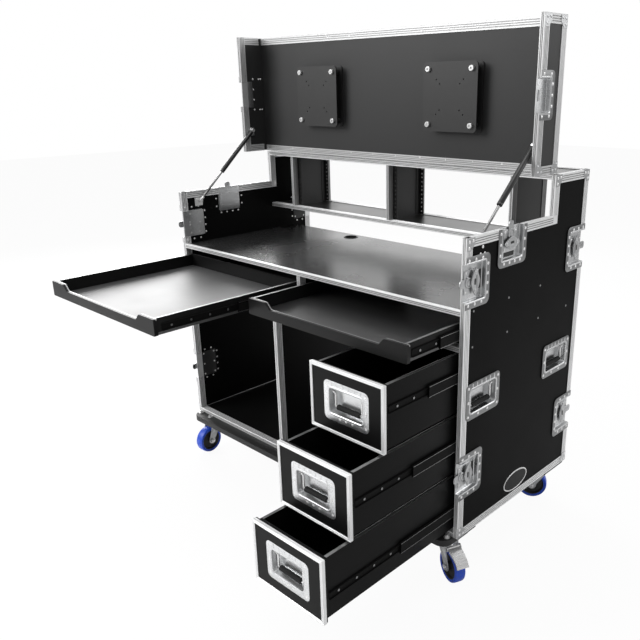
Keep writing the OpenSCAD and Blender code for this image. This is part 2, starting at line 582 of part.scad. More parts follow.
// lid
module lid_catch_at() translate([half_w, lid_front, hinge_z + hinge_y - latch_top_y]) children();
catch_w = 126;
catch_reach = 68;
module catch_cut() bx(-latch_pit - 0.1, 1, -1, catch_reach - 20 + fit,
  -catch_w / 2 + 20 - fit, catch_w / 2 - 20 + fit);
module lid_shell() color([0.20, 0.20, 0.21]) {
  difference() {
    bx(-skin_in, skin_in, lid_board_y, lid_back - gauge, lid_z0 + gauge, lid_z1 - gauge);
    for (s = [-1, 1], a = [-80, 80], b = [-80, 80])
      cyl_y(lid_board_y - 1, lid_back, s * plate_x + a, plate_z + b, 3.2);
  }
  both_sides() difference() {
    bx(skin_in + fit, skin_out, lid_front + gauge, lid_back - gauge, lid_z0 + gauge, lid_z1 - gauge);
    lid_catch_at() catch_cut();
  }
}
module lid_edging() color([0.80, 0.81, 0.82]) {
  both_sides() {
    // rim of the side wall, its two ends, and the angle over the back corner
    difference() {
      along_z(lid_z0, lid_z1) translate([leg_in, lid_front]) u_sec();
      lid_catch_at() catch_cut();
    }
    along_y(lid_front + edge_leg + fit, lid_back - edge_leg - fit) translate([leg_in, lid_z0]) u_sec();
    along_y(lid_front + edge_leg + fit, lid_back - edge_leg - fit) translate([leg_in, lid_z1])
      mirror([0, 1]) u_sec();
    along_z(lid_z0, lid_z1) polygon([[half_w, lid_back], [half_w, lid_back - edge_leg],
      [skin_out, lid_back - edge_leg], [skin_out, lid_back - gauge], [half_w - edge_leg, lid_back - gauge],
      [half_w - edge_leg, lid_back]]);
    // ends of the two inner strips on the lid board
    bx(half_w - edge_leg, leg_in, lid_face_y, lid_board_y, lid_z0, lid_z0 + edge_leg - 4);
    bx(half_w - edge_leg, leg_in, lid_face_y, lid_board_y, lid_z1 - edge_leg, lid_z1);
    // catch dish that takes the hook of the top latch
    lid_catch_at() translate([fit, 0, 0]) {
      along_x(0, 1.2) difference() {
        union() {
          translate([0, -catch_w / 2]) square([catch_reach - 14, catch_w]);
          translate([0, -catch_w / 2 + 14]) square([catch_reach, catch_w - 28]);
          for (b = [-catch_w / 2 + 14, catch_w / 2 - 14]) translate([catch_reach - 14, b]) circle(14);
        }
        translate([-1, -catch_w / 2 + 21.2]) square([catch_reach - 20.2, catch_w - 42.4]);
      }
      bx(-latch_pit, -latch_pit + 1.2, 0, catch_reach - 20, -catch_w / 2 + 20, catch_w / 2 - 20);
      bx(-latch_pit, 0, catch_reach - 21.2, catch_reach - 20, -catch_w / 2 + 20, catch_w / 2 - 20);
      for (b = [-catch_w / 2 + 20, catch_w / 2 - 21.2]) bx(-latch_pit, 0, 0, catch_reach - 20, b, b + 1.2);
      bx(-latch_pit + 1.2, -latch_pit + 3.6, 6, 12, -14, 14);
      bx(-latch_pit - 1.2, -latch_pit, edge_leg + fit, catch_reach - 8,
        -catch_w / 2 + 12, catch_w / 2 - 12);
    }
    // upper ball joint of the gas strut
    bx(leg_in - 2, leg_in - fit, ball_hi[0] - 16, ball_hi[0] + 16, ball_hi[1] - 20, ball_hi[1] + 10);
    cyl_x(strut_x + 8, leg_in - 2, ball_hi[0], ball_hi[1], 4);
  }
  // strips on the hinge edge and on the free edge of the lid board
  along_x(-half_w + edge_leg + fit, half_w - edge_leg - fit) {
    translate([lid_face_y, lid_z0]) u_sec(leg = edge_leg - 4);
    translate([lid_face_y, lid_z1]) mirror([0, 1]) u_sec();
  }
  // moving leaf of the hinge and its knuckles
  for (i = [1:2:7]) {
    cyl_x(knuckle(i), knuckle(i + 1) - 0.4, hinge_y, hinge_z, hinge_r);
    bx(knuckle(i), knuckle(i + 1) - 0.4, lid_back + fit, lid_back + 1.3, hinge_z, hinge_z + 6);
  }
  bx(-leg_in + 20, leg_in - 20, lid_back + fit, lid_back + 1.3, hinge_z + 5, hinge_z + 22);
}

vesa = [[100, 2.25], [75, 2.25]];
module monitor_plates() color([0.16, 0.16, 0.17]) for (s = [-1, 1])
  translate([s * plate_x, 0, plate_z]) {
  h = plate_size / 2;
  difference() {
    along_y(plate_front, plate_front + 4) round_rect(-h, h, -h, h, 12);
    for (v = vesa, a = [-1, 1], b = [-1, 1])
      cyl_y(plate_front - 1, plate_front + 5, a * v[0] / 2, b * v[0] / 2, v[1]);
  }
  along_y(lid_board_y - 4, lid_board_y) difference() {
    round_rect(-h, h, -h, h, 12);
    for (a = [-80, 80], b = [-80, 80]) translate([a, b]) circle(3.2);
  }
  // stand-offs, socket screws and the nuts behind the lid
  for (a = [-80, 80], b = [-80, 80]) {
    cyl_y(plate_front + 4 + fit, lid_board_y - 4 - fit, a, b, 9);
    difference() {
      cyl_y(plate_front - 7, plate_front - fit, a, b, 7.5);
      cyl_y(plate_front - 8, plate_front - 3, a, b, 3.2);
    }
    cyl_y(lid_board_y - 4, lid_back - gauge, a, b, 2.9);
    cyl_y(lid_back - gauge, lid_back + 1, a, b, 8);
  }
}

// gas struts, drawn on the right side
module on_strut() translate([strut_x, ball_lo[0], ball_lo[1]]) rotate([strut_ang, 0, 0]) children();
module strut_eye(y) cyl_x(-6, 7.7, y, 0, 7);
module strut_rod() color([0.75, 0.75, 0.77]) on_strut() difference() {
  union() {
    strut_eye(0);
    cyl_y(5, strut_len - tube_len + 50, 0, 0, 4);
  }
  cyl_x(-3, 8, 0, 0, 3.3);
}
module strut_tube() color([0.25, 0.25, 0.26]) on_strut() {
  difference() {
    cyl_y(strut_len - tube_len, strut_len - 6, 0, 0, 8);
    cyl_y(strut_len - tube_len - 1, strut_len - 12, 0, 0, 4.3);
  }
  strut_eye(strut_len);
}

// casters; k picks front left, front right, back left, back right
caster_at = [[-swivel_x, -swivel_y], [swivel_x, -swivel_y], [-swivel_x, swivel_y],
  [swivel_x, swivel_y]];
module at_caster(k) translate([caster_at[k][0], caster_at[k][1], 0])
  rotate([0, 0, headings[k]]) children();
plank_front = -half_d - 40;
plank_in = swivel_y - 80;
module caster_boards() color([0.06, 0.06, 0.06]) {
  along_z(caster_height, base) {
    polygon([for (q = [[-1, plank_front + 34], [1, plank_front + 34], [1, -plank_in], [-1, -plank_in]])
      [q[0] * (half_w - 13), q[1]]]);
    translate([-half_w + 47, plank_front]) square([2 * half_w - 94, 34]);
    for (s = [-1, 1]) translate([s * (half_w - 47), plank_front + 34]) circle(34);
  }
  bx(-half_w + 13, half_w - 13, plank_in, half_d + 10, caster_height, base);
  bx(-half_w + 40, half_w - 40, -plank_in, plank_in, caster_height, base);
}
module caster_plates() color([0.72, 0.73, 0.74]) for (k = [0:3])
  translate([caster_at[k][0], caster_at[k][1], 0]) {
  bx(-42.5, 42.5, -52.5, 52.5, caster_height - plate_t, caster_height);
  // king pin with its lower washer
  translate([0, 0, fork_top - 12]) cylinder(h = 12.3, r = 8);
  for (a = [-30, 30], b = [-40, 40])
    translate([a, b, caster_height - plate_t - 5]) cylinder(h = 5, r = 7, $fn = 6);
  // nuts on top of the front plank, ahead of the case
  if (k < 2) for (a = [-30, 30]) translate([a, -40, base]) cylinder(h = 7, r = 7, $fn = 6);
}
fork_in = wheel_w / 2 + 3;
module fork(k) color([0.55, 0.56, 0.57]) at_caster(k) {
  difference() {
    union() {
      translate([0, 0, fork_top - 14]) cylinder(h = 14, r = 32);
      for (s = [-1, 1]) mirror([0, s < 0 ? 1 : 0, 0]) along_y(fork_in, fork_in + 3) {
        polygon([[-26, fork_top - 2], [26, fork_top - 2], [trail + 12, wheel_r + 4],
          [trail + 9, wheel_r - 8], [trail - 9, wheel_r - 8], [trail - 14, wheel_r + 4]]);
        translate([trail, wheel_r]) circle(14);
        if (k == 1) translate(brake_c) { circle(8); translate([-20, -8]) square([20, 16]); }
      }
      cyl_y(-fork_in - 3, fork_in + 3, trail, wheel_r, axle_r);
      for (y = [-fork_in - 9, fork_in + 3])
        translate([trail, y, wheel_r]) rotate([-90, 0, 0]) cylinder(h = 6, r = 9, $fn = 6);
      if (k == 1) both_ends() cyl_y(fork_in - 4, fork_in + 3, brake_c[0], brake_c[1], 4);
    }
    translate([0, 0, fork_top - 15]) cylinder(h = 16, r = 8.3);
  }
}
module wheel(k) color([0.10, 0.22, 0.72]) at_caster(k) difference() {
  union() {
    cyl_y(-wheel_w / 2, wheel_w / 2, trail, wheel_r, wheel_r);
    cyl_y(-wheel_w / 2 - 2.7, wheel_w / 2 + 2.7, trail, wheel_r, 14);
  }
  cyl_y(-wheel_w, wheel_w, trail, wheel_r, axle_r + 0.3);
}
// brake pedal of the front right caster: turns on two studs of the fork
brake_c = [40, fork_top - 20];
module front_right_brake() color([0.80, 0.80, 0.81]) at_caster(1) difference() {
  along_y(-fork_in + 0.3, fork_in - 0.3) translate(brake_c) {
    circle(7);
    polygon([[0, -3], [46, -20], [58, -34], [62, -32], [49, -16], [2, 6]]);
  }
  both_ends() cyl_y(fork_in - 4.3, fork_in, brake_c[0], brake_c[1], 4.3);
}
module both_ends() { children(); mirror([0, 1, 0]) children(); }

// blank oval plate near the bottom of the right side panel
oval_w = 130;
oval_h = 65;
module oval_plate() color([0.12, 0.12, 0.12]) translate([skin_out, -8, base + 61])
  scale([1, 1, oval_h / oval_w]) rotate([0, 90, 0]) cylinder(h = 1.5, r = oval_w / 2, $fn = 96);

side_panels();
inner_boards();
desk_board();
hutch_boards();
case_edging();
corner_plates();
rack_rails();
latch_dishes();
handle_dishes();
fixed_slides();
caster_boards();
caster_plates();
oval_plate();
desk_grommet();
lid_shell();
lid_edging();
monitor_plates();
mirror([1, 0, 0]) strut_rod();  // left_strut_rod
mirror([1, 0, 0]) strut_tube();  // left_strut_tube
strut_rod();  // right_strut_rod
strut_tube();  // right_strut_tube
left_tray();
right_tray();
middle_slides(left_tray_walls, tray_slide_z, tray_out[0]);  // left_tray_slides
middle_slides(right_tray_walls, tray_slide_z, tray_out[1]);  // right_tray_slides
drawer_box(0);  // lower_drawer_box
drawer_box(1);  // middle_drawer_box
drawer_box(2);  // upper_drawer_box
drawer_trim(0);  // lower_drawer_trim
drawer_trim(1);  // middle_drawer_trim
drawer_trim(2);  // upper_drawer_trim
drawer_bail(0);  // lower_drawer_bail
drawer_bail(1);  // middle_drawer_bail
drawer_bail(2);  // upper_drawer_bail
middle_slides(drawer_walls, drawer_slide_z[0], drawer_out[0]);  // lower_drawer_slides
middle_slides(drawer_walls, drawer_slide_z[1], drawer_out[1]);  // middle_drawer_slides
middle_slides(drawer_walls, drawer_slide_z[2], drawer_out[2]);  // upper_drawer_slides
side_bail(0);  // right_front_bail
side_bail(1);  // right_back_bail
mirror([1, 0, 0]) side_bail(0);  // left_front_bail
mirror([1, 0, 0]) side_bail(1);  // left_back_bail
wing_color() on_front(latch_upper) wing();  // right_front_upper_wing
wing_color() on_front(latch_lower) wing();  // right_front_lower_wing
wing_color() on_back(latch_upper) wing();  // right_back_upper_wing
wing_color() on_back(latch_lower) wing();  // right_back_lower_wing
wing_color() on_top(latch_top_y) wing();  // right_top_wing
wing_color() mirror([1, 0, 0]) on_front(latch_upper) wing();  // left_front_upper_wing
wing_color() mirror([1, 0, 0]) on_front(latch_lower) wing();  // left_front_lower_wing
wing_color() mirror([1, 0, 0]) on_back(latch_upper) wing();  // left_back_upper_wing
wing_color() mirror([1, 0, 0]) on_back(latch_lower) wing();  // left_back_lower_wing
wing_color() mirror([1, 0, 0]) on_top(latch_top_y) wing();  // left_top_wing
fork(0);  // front_left_fork
fork(1);  // front_right_fork
fork(2);  // back_left_fork
fork(3);  // back_right_fork
wheel(0);  // front_left_wheel
wheel(1);  // front_right_wheel
wheel(2);  // back_left_wheel
wheel(3);  // back_right_wheel
front_right_brake();
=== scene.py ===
# %% [markdown]
# # A rolling rack case with a monitor lid
#
# The object is a road case for a video desk: laminated boards in aluminium edging, butterfly latches and
# recessed handles riveted to the sides, a lid that stands up on gas struts and carries two monitor plates,
# a hutch with rack rails, two pull-out trays, three drawers and four casters with blue treads.
# The CAD model already holds every size and every joint. This lesson dresses it: each step says what the
# real piece is, how it could be made in Blender, and why it is made the way it is here.

# %% Load the frame
import math
import bmesh
import bpy
import numpy as np
from mathutils import Matrix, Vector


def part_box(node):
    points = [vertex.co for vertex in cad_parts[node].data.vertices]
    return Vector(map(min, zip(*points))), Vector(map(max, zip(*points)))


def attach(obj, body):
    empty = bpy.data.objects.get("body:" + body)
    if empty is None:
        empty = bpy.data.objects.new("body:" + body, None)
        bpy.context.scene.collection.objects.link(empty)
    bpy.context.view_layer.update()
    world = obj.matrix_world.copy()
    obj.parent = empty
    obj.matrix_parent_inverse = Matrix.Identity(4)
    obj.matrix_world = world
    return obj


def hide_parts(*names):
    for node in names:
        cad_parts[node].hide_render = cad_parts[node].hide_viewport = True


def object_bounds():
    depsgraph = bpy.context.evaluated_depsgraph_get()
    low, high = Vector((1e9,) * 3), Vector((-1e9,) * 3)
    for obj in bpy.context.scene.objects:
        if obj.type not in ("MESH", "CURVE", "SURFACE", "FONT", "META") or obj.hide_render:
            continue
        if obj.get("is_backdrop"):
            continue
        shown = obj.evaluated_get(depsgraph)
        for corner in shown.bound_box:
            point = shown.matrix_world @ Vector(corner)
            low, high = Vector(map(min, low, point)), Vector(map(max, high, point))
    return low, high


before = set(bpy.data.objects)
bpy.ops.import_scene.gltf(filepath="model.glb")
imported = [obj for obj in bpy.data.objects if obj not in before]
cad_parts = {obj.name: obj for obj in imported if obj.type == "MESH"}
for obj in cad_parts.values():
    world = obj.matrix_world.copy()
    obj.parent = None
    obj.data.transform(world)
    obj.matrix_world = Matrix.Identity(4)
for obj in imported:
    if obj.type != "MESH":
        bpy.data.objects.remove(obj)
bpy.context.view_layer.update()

# %% [markdown]
# ## Sizes
#
# All lengths below are millimetres, and the mesh builder turns them into metres once. The outer sizes are
# read from the frame, so that the dressing follows the CAD model, and the standard sizes of a road case,
# such as the board and the edging, are named here.

# %% Driving sizes


def cad_box(node):
    """Lowest and highest corner of a CAD node, in millimetres."""
    low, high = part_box(node)
    return np.array(low) * 1000, np.array(high) * 1000


FIT = 0.1
GAUGE = 2.0
BOARD = 10.5
FACE = BOARD + 2 * GAUGE
LEG = 25.0
HUTCH_RISE = 115
SHELF_UP = 577
BAY_WIDTH = 490
RACK_WIDTH = 483.6
HUTCH_DIVIDER = 6.5
DRAWER_SIDE_GAP = 4
panel_low, panel_high = cad_box("side_panels")
half_w = panel_high[0] + GAUGE
half_d = panel_high[1] + GAUGE
base = panel_low[2] - GAUGE
hutch_top = panel_high[2] + GAUGE
hutch_front = cad_box("hutch_boards")[0][1] - GAUGE
side_top = hutch_top - HUTCH_RISE
skin_out = half_w - GAUGE
skin_in = skin_out - BOARD
leg_in = skin_in - GAUGE
desk_top = cad_box("desk_board")[1][2] + GAUGE
desk_low = desk_top - FACE
desk_back = cad_box("desk_board")[1][1]
shelf_top = base + SHELF_UP
shelf_low = shelf_top - FACE
hutch_shelf_low = cad_box("hutch_boards")[0][2] - GAUGE
hutch_shelf_top = hutch_shelf_low + FACE
floor_top = base + FACE
bay_divider = -skin_in + BAY_WIDTH
drawer_low, drawer_high = cad_box("lower_drawer_trim")
drawer_divider = drawer_low[0] - DRAWER_SIDE_GAP - BOARD
DRAWER_H = drawer_high[2] - drawer_low[2]
hutch_divider_face = HUTCH_DIVIDER + 2 * GAUGE
hutch_divider_x = (-(RACK_WIDTH + hutch_divider_face), 0.0, RACK_WIDTH + hutch_divider_face)
lid_low, lid_high = cad_box("lid_shell")
lid_bottom = lid_low[2] - GAUGE
lid_top = lid_high[2] + GAUGE
lid_front = lid_low[1] - GAUGE
lid_back = hutch_front
lid_board = lid_back - GAUGE - BOARD
lid_face = lid_back - FACE
print("half width", half_w, "half depth", half_d, "base", base, "hutch top", hutch_top)

# %% [markdown]
# ## Surfaces as arrays
#
# Nearly every piece of a road case is a pressed sheet, an extrusion or a turned part. Each can be modelled
# by hand from a cube, but a formula keeps every latch the same and follows the CAD sizes. So a shape here is
# a grid of points: rows run along one parameter and columns along the other, all worked out as whole numpy
# arrays. A shell is its points, its faces and the local coordinates of the points, which the materials use
# as the direction of the metal's grain.

# %% Shell helpers
X, Y, Z = np.eye(3)
OUTWARD = (Y, Z, X)
INWARD = (Y, -Z, -X)


def grid_faces(rows, columns, closed):
    """Quads between neighbouring points of a grid; closed joins the last column to the first."""
    row = np.arange(rows - 1)[:, None] * columns
    here = np.arange(columns if closed else columns - 1)[None, :]
    after = (here + 1) % columns
    quads = np.stack([row + here, row + after, row + columns + after, row + columns + here], -1)
    return quads.reshape(-1, 4)


def shell(points, faces):
    """Points, faces as a list of index arrays, and the points again as the grain coordinates."""
    points = np.asarray(points, float).reshape(-1, 3)
    return points, faces, points.copy()


def loft(rings):
    """Closed rings of equal length joined in order and capped: the surface from ring to ring is ruled."""
    count, size = rings.shape[:2]
    caps = [np.arange(size)[None, ::-1], np.arange(size)[None, :] + (count - 1) * size]
    return shell(rings, [grid_faces(count, size, True), *caps])


def closed_loft(rings):
    """Rings joined in order and the last one back to the first, for frames, bored parts and openings."""
    count, size = rings.shape[:2]
    first = np.arange(size)
    last = first + (count - 1) * size
    wrap = np.stack([last, np.roll(last, -1), np.roll(first, -1), first], -1)
    return shell(rings, [np.concatenate([grid_faces(count, size, True), wrap])])


def pressed(points, thickness, closed=False):
    """A sheet with both its faces: the grid, and the grid moved back along its normals by the thickness.

    The normal at a point is the cross product of the grid's two directions there.
    """
    rows, columns = points.shape[:2]
    across = np.gradient(points, axis=1)
    if closed:
        across = (np.roll(points, -1, axis=1) - np.roll(points, 1, axis=1)) / 2
    normal = np.cross(np.gradient(points, axis=0), across)
    normal /= np.maximum(np.linalg.norm(normal, axis=2, keepdims=True), 1e-9)
    front = grid_faces(rows, columns, closed)
    size = rows * columns
    index = np.arange(size).reshape(rows, columns)
    faces = [front, front[:, ::-1] + size]
    borders = [index[0], index[-1]] + ([] if closed else [index[:, 0], index[:, -1]])
    for line in borders:
        after = np.roll(line, -1)
        edge = np.stack([line, after, after + size, line + size], -1)
        faces.append(edge if closed else edge[:-1])
    return shell(np.stack([points, points - thickness * normal]), faces)


def put(part, origin, a=X, b=Y, c=Z):
    """A shell moved from its own axes to the case's: origin plus each local coordinate times its axis."""
    points, faces, grain = part
    return np.asarray(origin, float) + points @ np.array([a, b, c], float), faces, grain


def put_all(parts, *place):
    """Several shells moved alike."""
    return [put(part, *place) for part in parts]


def stamp(part, places, a, b, c):
    """Many copies of a small shell, one at each place, as one array sum."""
    points, faces, grain = part
    rotated = points @ np.array([a, b, c], float)
    places = np.atleast_2d(np.asarray(places, float))
    every = (places[:, None, :] + rotated[None, :, :]).reshape(-1, 3)
    step = (np.arange(len(places)) * len(points))[:, None, None]
    copies = [(step + face[None]).reshape(-1, face.shape[1]) for face in faces]
    return every, copies, np.tile(grain, (len(places), 1))


def mirrored(parts):
    """The shells on the other side of the case: x turned to minus x."""
    return [(points * [-1, 1, 1], faces, grain) for points, faces, grain in parts]


def both_sides(parts):
    """The shells of the right side and their mirror images."""
    return parts + mirrored(parts)


def to_side(side, groups):
    """Groups of (material, shells) made for the right side, mirrored if the side is the left one."""
    return [(material, mirrored(parts)) for material, parts in groups] if side == "left" else groups


print("helpers ready:", grid_faces(3, 4, True).shape[0], "quads on a closed three by four grid")

# %% [markdown]
# ## Outlines
#
# A closed outline is a list of points in a plane. Round corners are arcs, because a real sheet or board has
# no perfectly sharp corner, and an arc is what catches the light.

# %% Outline helpers


def rounded(width, height, radius, corner=4):
    """Rectangle about the origin with an arc of the radius in each corner, anticlockwise."""
    turn = np.linspace(0, math.pi / 2, corner + 1)
    quarters = []
    for k, (sx, sy) in enumerate([(1, 1), (-1, 1), (-1, -1), (1, -1)]):
        centre = np.array([sx * (width / 2 - radius), sy * (height / 2 - radius)])
        angle = turn + k * math.pi / 2
        quarters.append(centre + radius * np.stack([np.cos(angle), np.sin(angle)], -1))
    return np.concatenate(quarters)


def circle(radius, count):
    """Points of a circle, anticlockwise."""
    angle = np.arange(count) * 2 * math.pi / count
    return radius * np.stack([np.cos(angle), np.sin(angle)], -1)


def stack(levels):
    """Rings (u, v, height) from pairs of a flat outline and its height."""
    return np.stack([np.column_stack([outline, np.full(len(outline), height)]) for outline, height in levels])


def slab(low, high, radius=1.0):
    """Board with all its edges rounded: level outlines whose inset follows a quarter circle at both ends."""
    low, high = np.asarray(low, float), np.asarray(high, float)
    size, middle = high - low, (high + low) / 2
    radius = min(radius, *(size * 0.49))
    turn = np.linspace(0.12, math.pi / 2, 3)
    inset = radius * (1 - np.sin(turn))
    drop = radius * (1 - np.cos(turn))[::-1]
    levels = []
    for level, cut in zip(np.r_[drop, size[2] - drop[::-1]], np.r_[inset, inset[::-1]]):
        outline = rounded(size[0] - 2 * cut, size[1] - 2 * cut, max(radius - cut, 0.02), 2)
        levels.append((outline + middle[:2], low[2] + level))
    return loft(stack(levels))


def turned(profile, count):
    """Circles from a profile of radius against height."""
    return stack([(circle(radius, count), height) for radius, height in profile])


def lathe(profile, count=32):
    """Turned solid about the third axis."""
    return loft(turned(profile, count))


def bored(profile, count=40):
    """Turned part with a bore: the profile's last ring is joined back to its first."""
    return closed_loft(turned(profile, count))


def prism(outline, start, end):
    """An outline in the first two axes carried straight along the third, from start to end."""
    return loft(stack([(outline, start), (outline, end)]))


def tube(path, radius, count=12, normal=X):
    """Round bar along a flat path: at each point a circle in the plane across the path's direction."""
    tangent = np.gradient(path, axis=0)
    tangent /= np.linalg.norm(tangent, axis=1, keepdims=True)
    other = np.cross(tangent, normal)
    ring = circle(1.0, count)
    radius = np.broadcast_to(np.asarray(radius, float), (len(path),))[:, None, None]
    offsets = ring[None, :, :1] * normal + ring[None, :, 1:] * other[:, None, :]
    return loft(path[:, None, :] + radius * offsets)


def soften(points, radius, steps=5):
    """A path with each inner corner replaced by a curve that starts and ends the radius away from it."""
    points = np.asarray(points, float)
    out = [points[:1]]
    t = np.linspace(0, 1, steps)[:, None]
    for before, corner, after in zip(points[:-2], points[1:-1], points[2:]):
        a = corner + radius * (before - corner) / np.linalg.norm(before - corner)
        b = corner + radius * (after - corner) / np.linalg.norm(after - corner)
        out.append((1 - t) ** 2 * a + 2 * t * (1 - t) * corner + t ** 2 * b)
    return np.concatenate(out + [points[-1:]])


def dome(radius, height, count=12):
    """Rivet head: rings on a flattened hemisphere, closed by its top point's small ring."""
    turn = np.array([0.0, 0.45, 0.95, 1.35])
    return lathe(np.column_stack([radius * np.cos(turn), height * np.sin(turn)]), count)


print("a slab has", len(slab((0, 0, 0), (10, 10, 10))[0]), "points, a rivet", len(dome(4, 1.6)[0]))

# %% [markdown]
# ## From shells to pieces
#
# Each piece gets its shells, one material per group of shells, the CAD body it rides on and the CAD nodes it
# replaces. The faces of each closed shell are turned outwards before the piece is used, and edges sharper
# than about thirty degrees stay crisp while the rest is smooth.

# %% Piece builder
CRISP_DEGREES = 32


def piece(name, body, groups, replaces=()):
    """One object from groups of (material, shells), turned outwards and shaded."""
    points, faces, grain, owner = [], [], [], []
    start = 0
    for number, (_, shells) in enumerate(groups):
        for part_points, part_faces, part_grain in shells:
            points.append(part_points)
            grain.append(part_grain)
            rows = [row for face in part_faces for row in (face + start).tolist()]
            faces += rows
            owner += [number] * len(rows)
            start += len(part_points)
    mesh = bpy.data.meshes.new(name)
    mesh.from_pydata(np.concatenate(points) / 1000, [], faces)
    layer = mesh.attributes.new("grain", "FLOAT_VECTOR", "POINT")
    layer.data.foreach_set("vector", (np.concatenate(grain) / 1000).ravel())
    mesh.polygons.foreach_set("material_index", owner)
    for material, _ in groups:
        mesh.materials.append(material)
    work = bmesh.new()
    work.from_mesh(mesh)
    bmesh.ops.dissolve_degenerate(work, edges=work.edges, dist=1e-7)
    bmesh.ops.recalc_face_normals(work, faces=work.faces)
    work.to_mesh(mesh)
    work.free()
    mesh.polygons.foreach_set("use_smooth", [True] * len(mesh.polygons))
    mesh.set_sharp_from_angle(angle=math.radians(CRISP_DEGREES))
    made = bpy.data.objects.new(name, mesh)
    bpy.context.scene.collection.objects.link(made)
    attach(made, body)
    if replaces:
        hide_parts(*replaces)
    print(f"{name}: {len(mesh.vertices)} points, {len(mesh.polygons)} faces, on {body}")


# %% [markdown]
# ## Finishes
#
# A finish is a Principled shader whose colour, roughness and bump vary a little over the surface. The effects
# that several finishes share are node groups built once: specks for mottled coatings, brushed lines that
# follow a piece's own length, a fine cell pattern for textured laminate, and an orange-peel bump. The groups
# give out only masks and heights, and each material places them with its own scale and strength.

# %% Shader helpers


def fill(tree, node, values):
    """Sets the node's inputs, by name or number: a socket is linked and anything else is a constant."""
    for key, value in values.items():
        if isinstance(value, bpy.types.NodeSocket):
            tree.links.new(value, node.inputs[key])
        else:
            node.inputs[key].default_value = value


def add_node(tree, kind, values=None, **settings):
    """Outputs of a new shader node with these inputs and settings."""
    node = tree.nodes.new("ShaderNode" + kind)
    for name, value in settings.items():
        setattr(node, name, value)
    fill(tree, node, values or {})
    return node.outputs


def math_node(tree, operation, first, second, clamp=False):
    """Result of a Math node on two sockets or numbers."""
    return add_node(tree, "Math", {0: first, 1: second}, operation=operation, use_clamp=clamp)[0]


def object_vector(tree):
    """The object's own coordinates in metres."""
    return add_node(tree, "TexCoord")["Object"]


def noise(tree, scale, detail=3.0, vector=None):
    """Noise on the object's coordinates, or on another vector."""
    if vector is None:
        vector = object_vector(tree)
    values = {"Vector": vector, "Scale": scale, "Detail": detail, "Roughness": 0.55}
    return add_node(tree, "TexNoise", values)[0]


def grain_vector(tree):
    """The piece's own local coordinates, as the piece builder kept them."""
    return add_node(tree, "Attribute", attribute_name="grain")["Vector"]


def new_group(name, given, results):
    """A shader group's tree, the outputs of its entry node, and its exit node."""
    tree = bpy.data.node_groups.new(name, "ShaderNodeTree")
    add = tree.interface.new_socket
    for label, default in given.items():
        add(label, in_out="INPUT", socket_type="NodeSocketFloat").default_value = default
    for label in results:
        add(label, in_out="OUTPUT", socket_type="NodeSocketFloat")
    return tree, tree.nodes.new("NodeGroupInput").outputs, tree.nodes.new("NodeGroupOutput")


def make_specks():
    """Mask that is 0 on most of the surface and rises to 1 in scattered specks of the given size."""
    tree, given, leave = new_group("specks", {"Scale": 400.0, "Edge": 0.6}, ["Mask"])
    over = math_node(tree, "SUBTRACT", noise(tree, given["Scale"], 4.0), given["Edge"])
    fill(tree, leave, {"Mask": math_node(tree, "MULTIPLY", over, 9.0, clamp=True)})
    return tree


def make_brushed():
    """Fine lines along a piece's length (the third local axis), and the slower blotches of a wiped metal."""
    tree, given, leave = new_group("brushed_lines", {"Scale": 900.0}, ["Lines", "Blotch"])
    along = add_node(tree, "Mapping", {"Vector": grain_vector(tree), "Scale": (1.0, 1.0, 0.012)})[0]
    fill(tree, leave, {"Lines": noise(tree, given["Scale"], 2.0, along), "Blotch": noise(tree, 14.0)})
    return tree


def make_cells():
    """Height of a pressed cell pattern, as on textured laminate: distance from the middle of each cell."""
    tree, given, leave = new_group("laminate_cells", {"Scale": 260.0}, ["Height"])
    values = {"Vector": object_vector(tree), "Scale": given["Scale"], "Smoothness": 0.4, "Randomness": 0.35}
    fill(tree, leave, {"Height": add_node(tree, "TexVoronoi", values, feature="SMOOTH_F1")["Distance"]})
    return tree


def make_peel():
    """Height of a sprayed or moulded skin: two scales of noise added together."""
    tree, given, leave = new_group("coat_peel", {"Scale": 700.0}, ["Height"])
    height = math_node(tree, "ADD", noise(tree, given["Scale"], 2.0), noise(tree, 90.0, 2.0))
    fill(tree, leave, {"Height": height})
    return tree


GROUPS = {"specks": make_specks(), "brushed": make_brushed(), "cells": make_cells(), "peel": make_peel()}
print("shader groups:", ", ".join(g.name for g in GROUPS.values()))

# %% Material helpers


def new_material(name, metallic, specular=0.5):
    """A Principled material, its tree and its shader."""
    material = bpy.data.materials.new(name)
    material.use_nodes = True
    tree = material.node_tree
    shader = next(n for n in tree.nodes if n.type == "BSDF_PRINCIPLED")
    fill(tree, shader, {"Metallic": metallic, "Specular IOR Level": specular})
    return material, tree, shader


def group(tree, key, **values):
    """Outputs of one of the shared groups."""
    return add_node(tree, "Group", values, node_tree=GROUPS[key])


def blend(tree, mask, low, high):
    """A colour that runs from low to high with the mask."""
    values = {"Factor": mask, "A": (*low, 1), "B": (*high, 1)}
    return add_node(tree, "Mix", values, data_type="RGBA")["Result"]


def spread(tree, mask, low, high):
    """A value that runs from low to high with the mask."""
    return add_node(tree, "MapRange", {"Value": mask, "To Min": low, "To Max": high})[0]


def bump(tree, height, distance, strength=0.5):
    """A normal bent by the height, to the given depth in metres."""
    return add_node(tree, "Bump", {"Height": height, "Distance": distance, "Strength": strength})["Normal"]


def dress(tree, shader, colour, rough, normal=None):
    """Colour, roughness and normal of a shader."""
    fill(tree, shader, {"Base Color": colour, "Roughness": rough})
    if normal is not None:
        fill(tree, shader, {"Normal": normal})


def grey(value, warm=0.0):
    """A neutral linear colour, a little warmer or cooler."""
    return value * (1 + warm), value, value * (1 - warm)


# %% [markdown]
# ### Laminate
#
# The boards are plywood faced with a black phenolic film that has a fine pressed pattern. It is nearly black
# and only its satin gloss shows the pattern. The desk and the lid board have the same film in dark grey.
# A plain dark colour would look like a hole in the picture, so the film gets a low bump of small cells, and
# its roughness wanders slowly, as hands and boxes polish it.

# %% Laminate finishes


